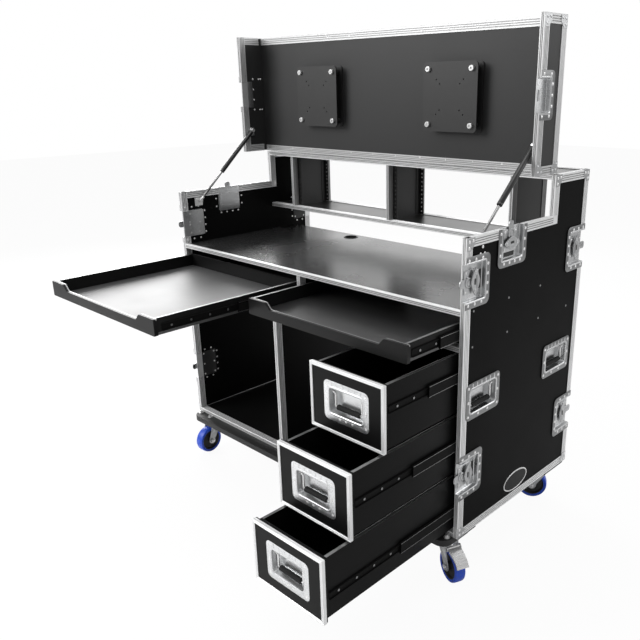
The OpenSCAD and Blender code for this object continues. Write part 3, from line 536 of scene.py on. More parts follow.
def laminate(name, colour, rough, specular, cell_depth=0.00012, cell_scale=260.0):
    """Dark film with pale specks, polished unevenly, with a cell pattern of the given depth in metres."""
    material, tree, shader = new_material(name, 0.0, specular)
    specks = group(tree, "specks", Scale=520.0, Edge=0.62)["Mask"]
    cells = group(tree, "cells", Scale=cell_scale)["Height"]
    dress(
        tree, shader, blend(tree, specks, grey(colour, -0.01), grey(colour * 1.8)),
        spread(tree, noise(tree, 5.0), rough - 0.07, rough + 0.07), bump(tree, cells, cell_depth, 0.6),
    )
    return material


black_laminate = laminate("black_laminate", 0.0035, 0.46, 0.04)
desk_laminate = laminate("desk_laminate", 0.020, 0.26, 0.9, 0.00025, 210.0)
lid_laminate = laminate("lid_laminate", 0.016, 0.46, 0.42, 0.0001, 320.0)
black_board = laminate("black_board", 0.0045, 0.42, 0.10, 0.00008, 420.0)
hutch_laminate = laminate("hutch_laminate", 0.006, 0.34, 0.5, 0.0001, 320.0)
tray_board = laminate("tray_board", 0.007, 0.40, 0.16, 0.00008, 420.0)
# Painted light and shade: the left tray's floor is a lighter copy of the film, where light falls on it, and
# the right tray's a darker one, in the shade of the case.
tray_floor_lit_and_shaded = {
    "left": laminate("tray_laminate", 0.045, 0.52, 1.0, 0.00004, 420.0),
    "right": laminate("tray_laminate_painted_shade", 0.016, 0.38, 1.0, 0.00004, 420.0),
}
print("laminates ready")

# %% [markdown]
# ### Aluminium and zinc
#
# The edging is extruded aluminium, satin anodised, with lines along its length, and painted shade darkens its
# grooves. The latches, handles and corner plates are pressed steel with a bright zinc coat, which has faint
# cloudy patches and tiny dull specks. Zinc and chrome are full metals. The edging, rivets and bolts are only
# partly metallic, because the soft white room of the photograph shows in them as an even pale grey, with few
# dark reflections.

# %% Metal finishes
BRIGHT_DEPTH = 0.0004


def anodised(name, colour, rough, metallic=1.0):
    """Aluminium with lines along its length in colour and height, and blotches in its gloss."""
    material, tree, shader = new_material(name, metallic)
    brushed = group(tree, "brushed", Scale=1500.0)
    dress(
        tree, shader, blend(tree, brushed["Lines"], grey(colour * 0.86, -0.008), grey(colour * 1.06)),
        spread(tree, brushed["Blotch"], rough - 0.08, rough + 0.10), bump(tree, brushed["Lines"], 0.00006),
    )
    return material


def paint_groove_shade(material, width, dark):
    """Painted shade: a dark base colour in the grooves of an edging run, by how deep a point of its outline
    lies.

    The depth is the distance in metres to the nearest outer face. Down to BRIGHT_DEPTH the metal stays
    bright, and a millimetre further in it is fully dark.
    """
    tree = material.node_tree
    shader = next(n for n in tree.nodes if n.type == "BSDF_PRINCIPLED")
    place = add_node(tree, "SeparateXYZ", {0: grain_vector(tree)})
    far = math_node(tree, "SUBTRACT", width, place["X"])
    depth = math_node(tree, "MINIMUM", math_node(tree, "MINIMUM", place["X"], place["Y"]), far)
    sunk = math_node(tree, "MULTIPLY", math_node(tree, "SUBTRACT", depth, BRIGHT_DEPTH), 1000.0, clamp=True)
    values = {"Factor": sunk, "A": shader.inputs["Base Color"].links[0].from_socket, "B": (*dark, 1)}
    fill(tree, shader, {"Base Color": add_node(tree, "Mix", values, data_type="RGBA")["Result"]})


def zinc(name, colour, rough, speck=0.55):
    """Zinc coat: dull specks in colour and height, and blotches in its gloss."""
    material, tree, shader = new_material(name, 1.0)
    specks = group(tree, "specks", Scale=650.0, Edge=speck)["Mask"]
    brushed = group(tree, "brushed", Scale=700.0)
    dress(
        tree, shader, blend(tree, specks, grey(colour, -0.01), grey(colour * 0.62, -0.01)),
        spread(tree, brushed["Blotch"], rough - 0.08, rough + 0.14), bump(tree, specks, 0.00005, 0.6),
    )
    return material


def chrome_like(name, colour, rough, metallic=1.0):
    """Smooth bright metal: blotches in colour and fine lines in its gloss."""
    material, tree, shader = new_material(name, metallic)
    brushed = group(tree, "brushed", Scale=1200.0)
    dress(
        tree, shader, blend(tree, brushed["Blotch"], grey(colour * 0.9), grey(colour)),
        spread(tree, brushed["Lines"], rough * 0.6, rough * 1.5),
    )
    return material


edging = anodised("edging", 0.88, 0.40, 0.55)
run_edging = anodised("run_edging", 0.90, 0.40, 0.55)
lid_edging = anodised("lid_edging", 0.62, 0.40, 0.60)
# One pale metal for two uses: the raw top edges of the drawer sides, in their own grey, and painted
# highlights on the tray walls.
edge_colour_and_highlight_strip = anodised("edge_colour_and_highlight_strip", 0.30, 0.45)
# Painted shade: the edging runs and the lid edging get a dark base colour in their grooves, where shade
# falls.
for grooved_metal in (run_edging, lid_edging):
    paint_groove_shade(grooved_metal, FACE / 1000, grey(0.30))
zinc_plate = zinc("zinc_plate", 0.52, 0.30)
zinc_dish = zinc("zinc_dish", 0.60, 0.26, 0.55)
zinc_flange = zinc("zinc_flange", 0.24, 0.34, 0.58)
zinc_pull = zinc("zinc_pull", 0.80, 0.34, 0.50)
fork_steel = zinc("fork_steel", 0.30, 0.36, 0.6)
fork_zinc = zinc("fork_zinc", 0.58, 0.34, 0.6)
rivet_steel = chrome_like("rivet_steel", 0.95, 0.24, 0.40)
bolt_steel = chrome_like("bolt_steel", 0.80, 0.26, 0.70)
chrome_rod = chrome_like("chrome_rod", 0.24, 0.12)
slide_rim_highlight = chrome_like("slide_rim_highlight", 0.40, 0.30)
print("metals ready")

# %% [markdown]
# ### Paint, rubber and tread
#
# Rails, slides and monitor plates are powder coated, which has an orange-peel skin. The grips are ribbed
# rubber, the hubs moulded plastic, and the treads blue elastic with a soft sheen and dust where they roll.

# %% Painted and moulded finishes


def coated(name, value, rough, scale=700.0, depth=0.00012, specular=0.5):
    """Powder coat or a moulded skin: one grey, a peel bump and gloss that wanders."""
    material, tree, shader = new_material(name, 0.0, specular)
    peel = group(tree, "peel", Scale=scale)["Height"]
    dress(
        tree, shader, blend(tree, noise(tree, 22.0), grey(value * 0.8), grey(value * 1.25)),
        spread(tree, peel, rough - 0.08, rough + 0.08), bump(tree, peel, depth),
    )
    return material


def tread(name, colour, dust):
    """Wheel tread: the colour, greyed by dust in a fine broken pattern."""
    material, tree, shader = new_material(name, 0.0)
    specks = group(tree, "specks", Scale=180.0, Edge=0.58)["Mask"]
    peel = group(tree, "peel", Scale=300.0)["Height"]
    gloss = spread(tree, specks, 0.36, 0.62)
    dress(tree, shader, blend(tree, specks, colour, dust), gloss, bump(tree, peel, 0.0001))
    return material


black_steel = coated("black_steel", 0.010, 0.42)
plate_coat = coated("plate_coat", 0.012, 0.34, 500.0)
strut_paint = coated("strut_paint", 0.012, 0.28, 900.0, 0.00003)
grip_rubber = coated("grip_rubber", 0.012, 0.62, 900.0, 0.0002, 0.35)
black_plastic = coated("black_plastic", 0.012, 0.45, 600.0, 0.00008)
plank_film = coated("plank_film", 0.016, 0.50, 350.0, 0.0002, 0.4)
badge_field = coated("badge_field", 0.006, 0.5, 900.0, 0.00003, 0.3)
slide_black = coated("slide_black", 0.003, 0.60, 700.0, 0.00004, 0.12)
blue_tread = tread("blue_tread", (0.010, 0.075, 0.62), (0.05, 0.12, 0.46))
print("materials:", len(bpy.data.materials))

# %% [markdown]
# ## Camera and light
#
# The photograph was taken from the right front corner, a little above the desk. The camera's place, angles
# and lens come from solving the case's own edges and the squares of the monitor plates. The picture is a
# studio shot on white: broad soft light from the left front and above, and a right side that stays dark.

# %% Camera
CAMERA_AT = (1.6372, -1.7089, 1.3751)
CAMERA_YAW, CAMERA_PITCH, CAMERA_ROLL = 43.043, 18.792, -0.526
camera_data = bpy.data.cameras.new("camera")
camera_data.sensor_width = 36.0
camera_data.lens = 39.82
camera_data.shift_x = -0.0865
camera_data.shift_y = 0.0103
camera_data.clip_end = 60.0
camera = bpy.data.objects.new("camera", camera_data)
bpy.context.scene.collection.objects.link(camera)
aim = (
    Matrix.Rotation(math.radians(CAMERA_YAW), 4, "Z")
    @ Matrix.Rotation(math.radians(90 - CAMERA_PITCH), 4, "X")
    @ Matrix.Rotation(math.radians(CAMERA_ROLL), 4, "Z")
)
camera.matrix_world = Matrix.Translation(CAMERA_AT) @ aim
bpy.context.scene.camera = camera
print("camera at", CAMERA_AT)

# %% Floor, world and lamps
FLOOR_HALF = 14.0
SEEN_WHITE = 0.95
WORLD_FILL = 0.36
GLOSSY_FILL = 0.25
WHITE = (1, 1, 1, 1)


def seen_rays(tree):
    """The light path's outputs, and 1 for rays of the camera or through glass."""
    path = add_node(tree, "LightPath")
    return path, math_node(tree, "ADD", path["Is Camera Ray"], path["Is Transmission Ray"], clamp=True)


def make_floor():
    """Pale floor that keeps the shadows, with white mixed over it where the camera or glass sees it."""
    step = np.array([[-1, -1], [1, -1], [1, 1], [-1, 1]]) * FLOOR_HALF
    mesh = bpy.data.meshes.new("studio_floor")
    mesh.from_pydata(np.column_stack([step, np.zeros(4)]), [], [(0, 1, 2, 3)])
    floor = bpy.data.objects.new("studio_floor", mesh)
    bpy.context.scene.collection.objects.link(floor)
    floor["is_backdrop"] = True
    material, tree, shader = new_material("floor_white", 0.0, 0.2)
    dress(tree, shader, blend(tree, noise(tree, 0.7), grey(0.88), grey(0.93)), 0.8)
    white = math_node(tree, "MULTIPLY", seen_rays(tree)[1], SEEN_WHITE)
    glow = add_node(tree, "Emission", {"Color": WHITE, "Strength": 1.0})[0]
    mixed = add_node(tree, "MixShader", {0: white, 1: shader.outputs[0], 2: glow})[0]
    fill(tree, next(n for n in tree.nodes if n.type == "OUTPUT_MATERIAL"), {"Surface": mixed})
    mesh.materials.append(material)


def make_world():
    """White where the camera or glass looks past the object, and an even fill light elsewhere."""
    world = bpy.data.worlds.new("studio")
    bpy.context.scene.world = world
    world.use_nodes = True
    tree = world.node_tree
    path, seen = seen_rays(tree)
    glossy = math_node(tree, "MULTIPLY", path["Is Glossy Ray"], GLOSSY_FILL)
    total = math_node(tree, "ADD", math_node(tree, "MULTIPLY", seen, 1.0 - WORLD_FILL), glossy)
    strength = math_node(tree, "MINIMUM", math_node(tree, "ADD", total, WORLD_FILL), 1.0)
    fill(tree, next(n for n in tree.nodes if n.type == "BACKGROUND"), {"Color": WHITE, "Strength": strength})


def soft_lamp(name, place, target, size, power):
    """A square area lamp that points from its place to the target."""
    data = bpy.data.lights.new(name, "AREA")
    data.shape = "SQUARE"
    data.size = size
    data.energy = power
    lamp = bpy.data.objects.new(name, data)
    bpy.context.scene.collection.objects.link(lamp)
    place, target = np.array(place, float), np.array(target, float)
    back = (place - target) / np.linalg.norm(place - target)
    right = np.cross(Z, back)
    right /= np.linalg.norm(right)
    up = np.cross(back, right)
    turn = Matrix([[*row, 0] for row in np.stack([right, up, back], 1)] + [[0, 0, 0, 1]])
    lamp.matrix_world = Matrix.Translation(place) @ turn
    return lamp


bpy.context.scene.view_settings.view_transform = "Standard"
make_floor()
make_world()
soft_lamp("key", (-2.6, -3.4, 3.2), (0, -0.2, 0.7), 2.6, 148)
soft_lamp("top", (0.2, -0.4, 4.0), (0, -0.2, 0.5), 2.8, 60)
soft_lamp("rim", (3.2, 2.4, 2.4), (0.3, 0, 0.7), 2.0, 30)
for name, place, power in (("window", (-3.67, 1.27, 2.5), 150), ("back_window", (-2.1, 3.2, 1.9), 15)):
    soft_lamp(name, place, (-0.1, -0.3, 0.8), 2.2, power).visible_camera = False
print("stage ready")

# %% [markdown]
# ## Boards that stay as they are
#
# The CAD boards already have their true shape, with the openings for latches and handles, so they keep their
# meshes and only get their finish. A copy made here would add nothing but a second set of numbers.

# %% Finish the CAD boards
CAD_FINISH = {
    "side_panels": black_laminate,
    "inner_boards": black_board,
    "hutch_boards": hutch_laminate,
    "desk_board": desk_laminate,
    "lid_shell": lid_laminate,
    "monitor_plates": plate_coat,
    "rack_rails": black_steel,
    "fixed_slides": black_steel,
}
for name, material in CAD_FINISH.items():
    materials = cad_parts[name].data.materials
    materials.clear()
    materials.append(material)
print("CAD pieces finished:", ", ".join(CAD_FINISH))

# %% [markdown]
# ## Edging
#
# Every board edge sits in a U-shaped aluminium extrusion with shallow grooves along it. One closed outline,
# carried straight along the edge, gives the whole length with its grooves, which a bevelled box would not
# have. The side uprights are interrupted where a latch dish opens to the edge: only the inner leg runs on.

# %% Edging outline and runs
LATCH_PIT = BOARD + GAUGE
LATCH_HALF = 68.5
LATCH_RIM = 20.0
LATCH_TOP_Y = -99.0
GROOVE_W, GROOVE_D = 2.8, 1.4
LATCH_DOWN, LATCH_UP = 117, 191
latch_levels = (side_top - LATCH_DOWN, base + LATCH_UP)
gap_half = LATCH_HALF - LATCH_RIM


def grooved(start, end, count, width, depth, inward):
    """Points along a straight side with evenly spaced grooves of the given width and depth."""
    start, end, inward = np.array(start, float), np.array(end, float), np.array(inward, float)
    length = np.linalg.norm(end - start)
    along = (end - start) / length
    middles = length * np.arange(1, count + 1) / (count + 1)
    shape = np.array([(-0.5, 0), (-0.36, 1), (0.36, 1), (0.5, 0)])
    across = along * (middles[:, None, None] + shape[None, :, :1] * width)
    points = start + across + inward * shape[None, :, 1:] * depth
    return np.concatenate([start[None], points.reshape(-1, 2), end[None]])


def channel(width=FACE, leg=LEG, first_leg=None):
    """Cross-section of the edging: its face lies on the first axis and its legs point along the second.

    The leg at the start of the face may have a length of its own. A leg over 20 mm has three grooves, a
    shorter one has one, and the face has two.
    """
    ease = 0.8
    first_leg = first_leg or leg
    first_grooves, grooves = (3 if size > 20 else 1 for size in (first_leg, leg))
    groove = (GROOVE_W, GROOVE_D)
    return np.concatenate([
        grooved((0, first_leg), (0, ease), first_grooves, *groove, (1, 0)),
        grooved((ease, 0), (width - ease, 0), 2, *groove, (0, 1)),
        grooved((width, ease), (width, leg), grooves, *groove, (-1, 0)),
        [(width - GAUGE, leg), (width - GAUGE, GAUGE), (GAUGE, GAUGE), (GAUGE, first_leg)],
    ])


def run(outline, origin, across, inward, along, start, end):
    """A length of edging: the outline's face lies along across, its legs point inward."""
    return put(prism(outline, start + FIT, end - FIT), origin, across, inward, along)


def broken_run(origin, inward, along, start, end, gaps, half):
    """A side length with its outer part cut away at the gaps, where only the inner leg runs on."""
    cuts = [start, *(middle + end_at for middle in sorted(gaps) for end_at in (-half, half)), end]
    leg = [(0, 0), (GAUGE, 0), (GAUGE, LEG), (0, LEG)]
    return [
        run(outline, origin, X, inward, along, a, b)
        for outline, starts, ends in ((channel(), cuts[::2], cuts[1::2]), (leg, cuts[1:-1:2], cuts[2:-1:2]))
        for a, b in zip(starts, ends)
    ]


def level_run(start, end, y, z, inward, leg=LEG):
    """Edging on the front or back of a level board."""
    return run(channel(FACE, leg), (0, y, z), Z, inward, X, start, end)


def side_runs():
    """Edging of the right side panel, and the small plate where the side steps down."""
    front, back, top = (leg_in, -half_d, 0), (leg_in, half_d, 0), (leg_in, 0, side_top)
    low_outline = channel(first_leg=floor_top - base)
    parts = broken_run(front, Y, Z, base - FIT, side_top + FIT, latch_levels, gap_half)
    parts += broken_run(back, -Y, Z, base - FIT, hutch_top + FIT, latch_levels, gap_half)
    parts += broken_run(top, -Z, Y, -half_d + LEG, hutch_front + GAUGE, (LATCH_TOP_Y,), gap_half)
    parts += [
        run(low_outline, (leg_in, 0, base), X, Z, Y, -half_d + LEG, half_d - LEG),
        run(channel(), (leg_in, hutch_front, 0), X, Y, Z, side_top, hutch_top + FIT),
        run(channel(), (leg_in, 0, hutch_top), X, -Z, Y, hutch_front + LEG, half_d - LEG),
    ]
    for x in (leg_in, skin_out):
        low = (x, hutch_front + GAUGE + FIT, side_top - LEG)
        parts.append(slab(low, (x + GAUGE, hutch_front + LEG, side_top), 0.4))
    return parts


def board_runs():
    """Edging of the level boards and the dividers."""
    parts = [level_run(-leg_in, leg_in, -half_d, z, Y) for z in (base, shelf_low)]
    parts.append(level_run(-leg_in, leg_in, -half_d, desk_low, Y, 12.0))
    parts.append(level_run(-skin_in, skin_in, hutch_front, hutch_shelf_low, Y))
    parts.append(level_run(-leg_in, leg_in, hutch_front, hutch_top - FACE, Y))
    parts += [level_run(-leg_in, leg_in, half_d, z, -Y) for z in (base, hutch_shelf_low, hutch_top - FACE)]
    for x, low, high in (
        (bay_divider, floor_top, shelf_low),
        (drawer_divider, floor_top, shelf_low),
        (-BOARD / 2, shelf_top, desk_low),
    ):
        parts.append(run(channel(), (x - GAUGE, -half_d, 0), X, Y, Z, low, high))
    narrow = channel(hutch_divider_face)
    for x in hutch_divider_x:
        for y, inward in ((hutch_front, Y), (half_d, -Y)):
            origin = (x - hutch_divider_face / 2, y, 0)
            parts.append(run(narrow, origin, X, inward, Z, hutch_shelf_top, hutch_top - FACE))
    return parts


# %% Lid hinge
HINGE_R = 2.2
HINGE_PARTS = 9
KNUCKLE_GAP = 0.4
LEAF = 1.3
hinge_y = hutch_front + HINGE_R
hinge_z = hutch_top + HINGE_R + 0.3


def knuckle_ends(first):
    """Start and end of every second knuckle."""
    ends = [-leg_in + i * 2 * leg_in / HINGE_PARTS for i in range(HINGE_PARTS + 1)]
    return [(ends[i], ends[i + 1] - KNUCKLE_GAP) for i in range(first, HINGE_PARTS, 2)]


def knuckles(first):
    """Rolled knuckles of one leaf."""
    barrel = circle(HINGE_R, 14)
    return [put(prism(barrel, *ends), (0, hinge_y, hinge_z), Y, Z, X) for ends in knuckle_ends(first)]


fixed_leaf = slab(
    (-leg_in, hinge_y + HINGE_R + KNUCKLE_GAP, hutch_top + FIT), (leg_in, hinge_y + 20, hutch_top + LEAF), 0.3
)
groups = [(run_edging, both_sides(side_runs()) + board_runs()), (bolt_steel, [fixed_leaf] + knuckles(0))]
piece("case_edging_runs", "case", groups, ["case_edging"])

# %% [markdown]
# ## Latches
#
# A butterfly latch sits in a pressed dish whose pit is open to the edge of the case. The flange, the rounded
# rim and the pit are one sheet, so the dish is a grid: columns follow a U-shaped outline round the pit, and
# rows step from the flange's edge over the rim down to the floor. The same function makes the smaller catch
# on the lid, with other numbers.

# %% Latch dish
FLANGE = 1.2
COVER = 1.2
RIVET = dome(4.4, 1.6)
SMALL_RIVET = dome(3.4, 1.2, 10)


def open_outline(reach, half, radius):
    """U-shaped line from the edge in to the reach and back, with round corners: (inward, along) points."""
    count = 5
    turn = np.linspace(0, math.pi / 2, count)
    first = np.linspace(0, reach - radius, count, endpoint=False)
    side = np.column_stack([first, np.full(count, -half)])
    bend = np.array([reach - radius, radius - half]) + radius * np.column_stack([np.sin(turn), -np.cos(turn)])
    across = np.linspace(-half + radius, 0, count)[1:-1]
    lower = np.concatenate([side, bend, np.column_stack([np.full(len(across), reach), across])])
    return np.concatenate([lower, lower[::-1] * [1, -1]])


def dish_sheet(reach, half, rim, depth, radius):
    """Flange, wall and floor of an open dish, in local (out, inward, along) coordinates.

    Each row is the outline drawn in by the first number, at the height of the second.
    """
    rows = [
        (0, 0.0), (0, FLANGE - 0.3), (0.5, FLANGE), (rim - 5.5, FLANGE), (rim - 4, FLANGE + 0.7),
        (rim - 2, FLANGE + 0.9), (rim - 0.6, FLANGE), (rim, -1.0), (rim + 0.4, -depth + 2.5),
        (rim + 2.2, -depth + 0.6),
    ]
    points = stack([
        (open_outline(reach - cut, half - cut, max(radius - cut * 0.6, 5.0)), level) for cut, level in rows
    ])[..., [2, 0, 1]]
    inner_reach, inner_half = reach - rim, half - rim
    floor = slab((-depth, 0.0, -inner_half + 1), (-depth + 1.1, inner_reach - 1, inner_half - 1), 0.3)
    return [pressed(points[:4], -1.0), pressed(points[3:], -1.0), floor]


def hook_shells(depth):
    """Mechanism plate, hook bar, its ring and the drum; their rivets; and a thin black patch painted as the
    shade of the finger pocket.
    """
    plate = slab((-depth + 1.3, 6, -31), (-depth + 4, 66, 31), 0.6)
    drum = lathe([(14, 4), (14, 7.9), (13.2, 8.7), (10.6, 8.7), (10, 7.2), (7.6, 7.2), (7, 8.7), (1, 8.7)])
    drum = put(drum, (-depth, 20, 0), *OUTWARD)
    bar = put(prism(rounded(46, 22, 8), -depth + 4, -depth + 6.2), (0, 7, 0), *OUTWARD)
    ring = put(lathe([(3.2, 0), (5.2, 0), (5.2, 1.1), (3.2, 1.1)], 16), (-depth + 6, -8, 0), *OUTWARD)
    spots = [(-depth + 4, a, b) for a in (13, 62) for b in (-25, 25)]
    # Painted shade: a thin black patch on the dish floor stands in for the shade inside a deep finger pocket.
    pocket_shade_patch = slab((-depth + 0.9, 69, -25), (-depth + 1.4, 82, 25), 0.2)
    return [plate, bar, ring, drum], [stamp(dome(3.2, 1.4), spots, *OUTWARD)], [pocket_shade_patch]


def latch_rivet_spots():
    """Rivets of a latch flange: three on each side of the pit and four beyond it."""
    h = LATCH_HALF - 10
    spots = [(FLANGE, a, b) for b in (-h, h) for a in (12, 41, 70)]
    return spots + [(FLANGE, 95, b * 26) for b in (-1.5, -0.5, 0.5, 1.5)]


upper_front, upper_back, lower_front, lower_back = (
    ((half_w, y, z), X, inward, Z) for z in latch_levels for y, inward in ((-half_d, Y), (half_d, -Y))
)
top_edge = ((half_w, LATCH_TOP_Y, side_top), X, -Z, Y)
LATCH_PLACES = {
    "front_upper": upper_front, "back_upper": upper_back, "front_lower": lower_front,
    "back_lower": lower_back, "top": top_edge,
}


def at_latches(parts):
    """The parts at all ten latches."""
    return both_sides([put(part, *place) for part in parts for place in LATCH_PLACES.values()])


def inner_cover(half, end):
    """Flat cover inside the side wall, behind a latch."""
    return slab((-LATCH_PIT - COVER, LEG + FIT, -half), (-LATCH_PIT, 87.5, end), 0.4)


sunk = -LATCH_PIT - GAUGE
wide_cover = slab((sunk - 1.1, 1.5, -45.5), (sunk - FIT, 87.5, 45.5), 0.4)
dots = [(sunk - 1.1, a, b) for a, b in ((26, -6), (26, 6), (30, -34), (30, 34), (66, -34), (66, 34), (70, 0))]
dots = stamp(dome(2.6, 0.9, 10), dots, *INWARD)
bright_covers, cover_dots = (
    [put(part, *place) for place in (upper_front, top_edge)] for part in (wide_cover, dots)
)
plain_covers = [put(inner_cover(50.5, 50.5), *lower_front), put(inner_cover(50.5, 50.5), *lower_back)]
plain_covers.append(put(inner_cover(50.5, 15), *upper_back))
inner_spots = [(-LATCH_PIT - COVER, a, b) for a in (34, 80) for b in (-42, 0, 42)]
inner_spots += [(-LATCH_PIT - (GAUGE if a < LEG else 0), a, b) for _, a, b in latch_rivet_spots()]
latch_flange, *latch_bowl = dish_sheet(105, LATCH_HALF, LATCH_RIM, LATCH_PIT, 16)
hook_plates, hook_rivets, pocket_shade_patch = hook_shells(LATCH_PIT)
rivets = at_latches(hook_rivets + [stamp(SMALL_RIVET, inner_spots, *INWARD)])
piece(
    "latch_dishes_pressed", "case",
    [
        (zinc_flange, at_latches([latch_flange])), (zinc_dish, at_latches(latch_bowl)),
        (zinc_plate, at_latches(hook_plates) + both_sides(bright_covers)),
        (rivet_steel, rivets + both_sides(cover_dots)),
        (black_plastic, at_latches(pocket_shade_patch) + both_sides(plain_covers)),
    ],
    ["latch_dishes"],
)

# %% [markdown]
# ## Wings
#
# The wing that turns a latch is a diamond-shaped plate with a folded finger ridge across its middle and a
# dimple in each lobe. Its outline is |u / a| ** p + |v / b| ** p = 1 with p a little over 1, which is a
# diamond with round tips. Stacked copies of the outline give the plate its raised rim and shallow hollow.

# %% Latch wings
WING_A, WING_B, WING_POWER = 18.5, 36.0, 1.25
WING_AT = 44


def wing_shells():
    """Plate, spindle, ridge and dimples in local (out, inward, along) coordinates, and a thin black patch
    painted as the shade in the slot.
    """
    around_it = circle(1.0, 48)
    sides = np.abs(around_it[:, 0] / WING_A) ** WING_POWER + np.abs(around_it[:, 1] / WING_B) ** WING_POWER
    outline = around_it * sides[:, None] ** (-1 / WING_POWER)
    levels = [(0.95, -3), (1.0, -2.6), (1.0, -0.2), (0.96, 0.5), (0.88, 0.5), (0.82, -0.6), (0.3, -0.6)]
    plate = loft(stack([(outline * scale, height) for scale, height in levels]))
    spindle = lathe([(8, -LATCH_PIT + 4.3), (8, -3)], 20)
    ridge = slab((-1.4, -17, -0.8), (1.4, 17, 0.9), 0.6)
    dimple = lathe([(4.6, -0.7), (4.4, 0.1), (3.4, 0.5), (2.4, 0.2), (1.6, -0.2)], 16)
    metal = put_all([plate, spindle], (0, WING_AT, 0), *OUTWARD)
    metal.append(put(ridge, (0, 50, 0), *OUTWARD))
    metal.append(stamp(dimple, [(0, WING_AT, -24), (0, WING_AT, 24)], *OUTWARD))
    # Painted shade: a thin black patch stands in for the shade inside the wing's slot.
    slot = put(prism(rounded(6.5, 17, 2.5), -0.65, -0.3), (0, 42, 0), *OUTWARD)
    return metal, slot


wing_metal, wing_slot_shade = wing_shells()
for side in ("right", "left"):
    for place, axes in LATCH_PLACES.items():
        name = f"{side}_{place}_wing"
        groups = [(zinc_plate, put_all(wing_metal, *axes)), (black_plastic, [put(wing_slot_shade, *axes)])]
        piece(name + "_plate", name, to_side(side, groups), [name])

# %% [markdown]
# ## Recessed handles
#
# Each handle is a dish pressed from one sheet, with a raised rim round its pit, stiffening ribs on its top
# flange, and a sprung steel bail with a ribbed rubber grip. The dish is a grid of rounded rectangles, and the
# drawer pulls are the same dish in another size.

# %% Handle dishes
HANDLE = (158.0, 108.0)
PULL = (156.0, 108.0)
PIT_INSET = (40, 42)
DISH_DEPTH = 22.0
HANDLE_FRONT, HANDLE_BACK, HANDLE_UP = 98.5, 122.5, 413
handle_y = (-half_d + HANDLE_FRONT, half_d - HANDLE_BACK)
handle_z = base + HANDLE_UP
handle_places = {"front": (half_w, handle_y[0], handle_z), "back": (half_w, handle_y[1], handle_z)}


def closed_dish(width, height):
    """Flange; and rim, sloping wall, floor and ribs, as rounded rectangles in (out, across, up) coordinates.

    Each row gives the rectangle's growth over the flange or the pit, its radius and its height.
    """
    pit = np.array([width, height]) - PIT_INSET
    flange_rows = [(0, 14, 0.0), (0, 14, 0.9), (-1, 13.5, FLANGE)]
    pit_rows = [
        (13, 13, FLANGE), (10, 12, FLANGE + 1.0), (5, 11, FLANGE + 1.2), (1.5, 10, FLANGE), (0, 9, -1.5),
        (-3, 9, -DISH_DEPTH + 4), (-6, 9, -DISH_DEPTH + 1.4), (-12, 8, -DISH_DEPTH + 1.1),
    ]
    rings = stack([
        (rounded(*(np.array(size) + grow), radius, 6), level)
        for size, rows in (((width, height), flange_rows), (pit, pit_rows)) for grow, radius, level in rows
    ])[..., [2, 0, 1]]
    floor = prism(rounded(pit[0] - 10, pit[1] - 10, 8, 6), -DISH_DEPTH, -DISH_DEPTH + 1.2)
    bar = rounded(4.6, 12, 2.2, 3)
    rib = loft(stack([(bar, FLANGE - 0.2), (bar * 0.96, FLANGE + 0.6), (bar * 0.7, FLANGE + 1.0)]))
    spots = [(0, a, height / 2 - 8.2) for a in np.linspace(-0.32, 0.32, 6) * width]
    flange, bowl = (pressed(part, -1.1, closed=True) for part in (rings[:4], rings[3:]))
    return [flange], [bowl, put(floor, (0, 0, 0), *OUTWARD), stamp(rib, spots, *OUTWARD)]


def bail_groups(width, height, place, axes=(X, Y, Z)):
    """Sprung bail at rest in the pit: bent bar from the pivots down to the grip, and the ribbed grip."""
    half = (np.array([width, height]) - PIT_INSET) / 2
    top, low, arm, out = half[1] - 13, -half[1] + 15, half[0] - 12, -10.0
    route = [(out, -half[0] + 0.4, top), (out, -arm, top), (out, -arm, low), (out, arm, low)]
    route += [(out, arm, top), (out, half[0] - 0.4, top)]
    wire = tube(soften(route, 7.0, 6), 3.0)
    along = np.linspace(-arm + 7, arm - 7, 2 * int((arm - 7) / 2) + 1)
    swell = 6.4 + 1.0 * (np.arange(len(along)) % 2)
    heights = np.r_[along[0] - 0.6, along, along[-1] + 0.6]
    grip = put(lathe(np.column_stack([np.r_[3.4, swell, 3.4], heights]), 20), (out, 0, low), X, Z, Y)
    return [(bolt_steel, [put(wire, place, *axes)]), (grip_rubber, [put(grip, place, *axes)])]


groups = [
    (material, both_sides([part for place in handle_places.values() for part in put_all(parts, place)]))
    for material, parts in zip((zinc_flange, zinc_dish), closed_dish(*HANDLE))
]
piece("handle_dishes_pressed", "case", groups, ["handle_dishes"])
for side in ("right", "left"):
    for place, at in handle_places.items():
        name = f"{side}_{place}_bail"
        piece(name + "_bar", name, to_side(side, bail_groups(*HANDLE, at)), [name])

# %% [markdown]
# ## Corner plates, rivets and screws
#
# Every outer corner has a pressed plate with a cut corner and three rivets, and rows of rivets hold the
# dishes. A rivet is the same small dome everywhere, so one dome is worked out and stamped at all the places.

# %% Corner plates and rivets
CORNER = 34.0
STUD_HOLES = ((0, 5), (-9, -13), (9, -13))
STUD_REACH = 16
STUD_DOWN, STUD_UP = 20, 10
STRUT_X = leg_in - 12
BALL_LOW_IN, BALL_LOW_DOWN = 72.5, 37
ball_low = np.array([-half_d + BALL_LOW_IN, side_top - BALL_LOW_DOWN])


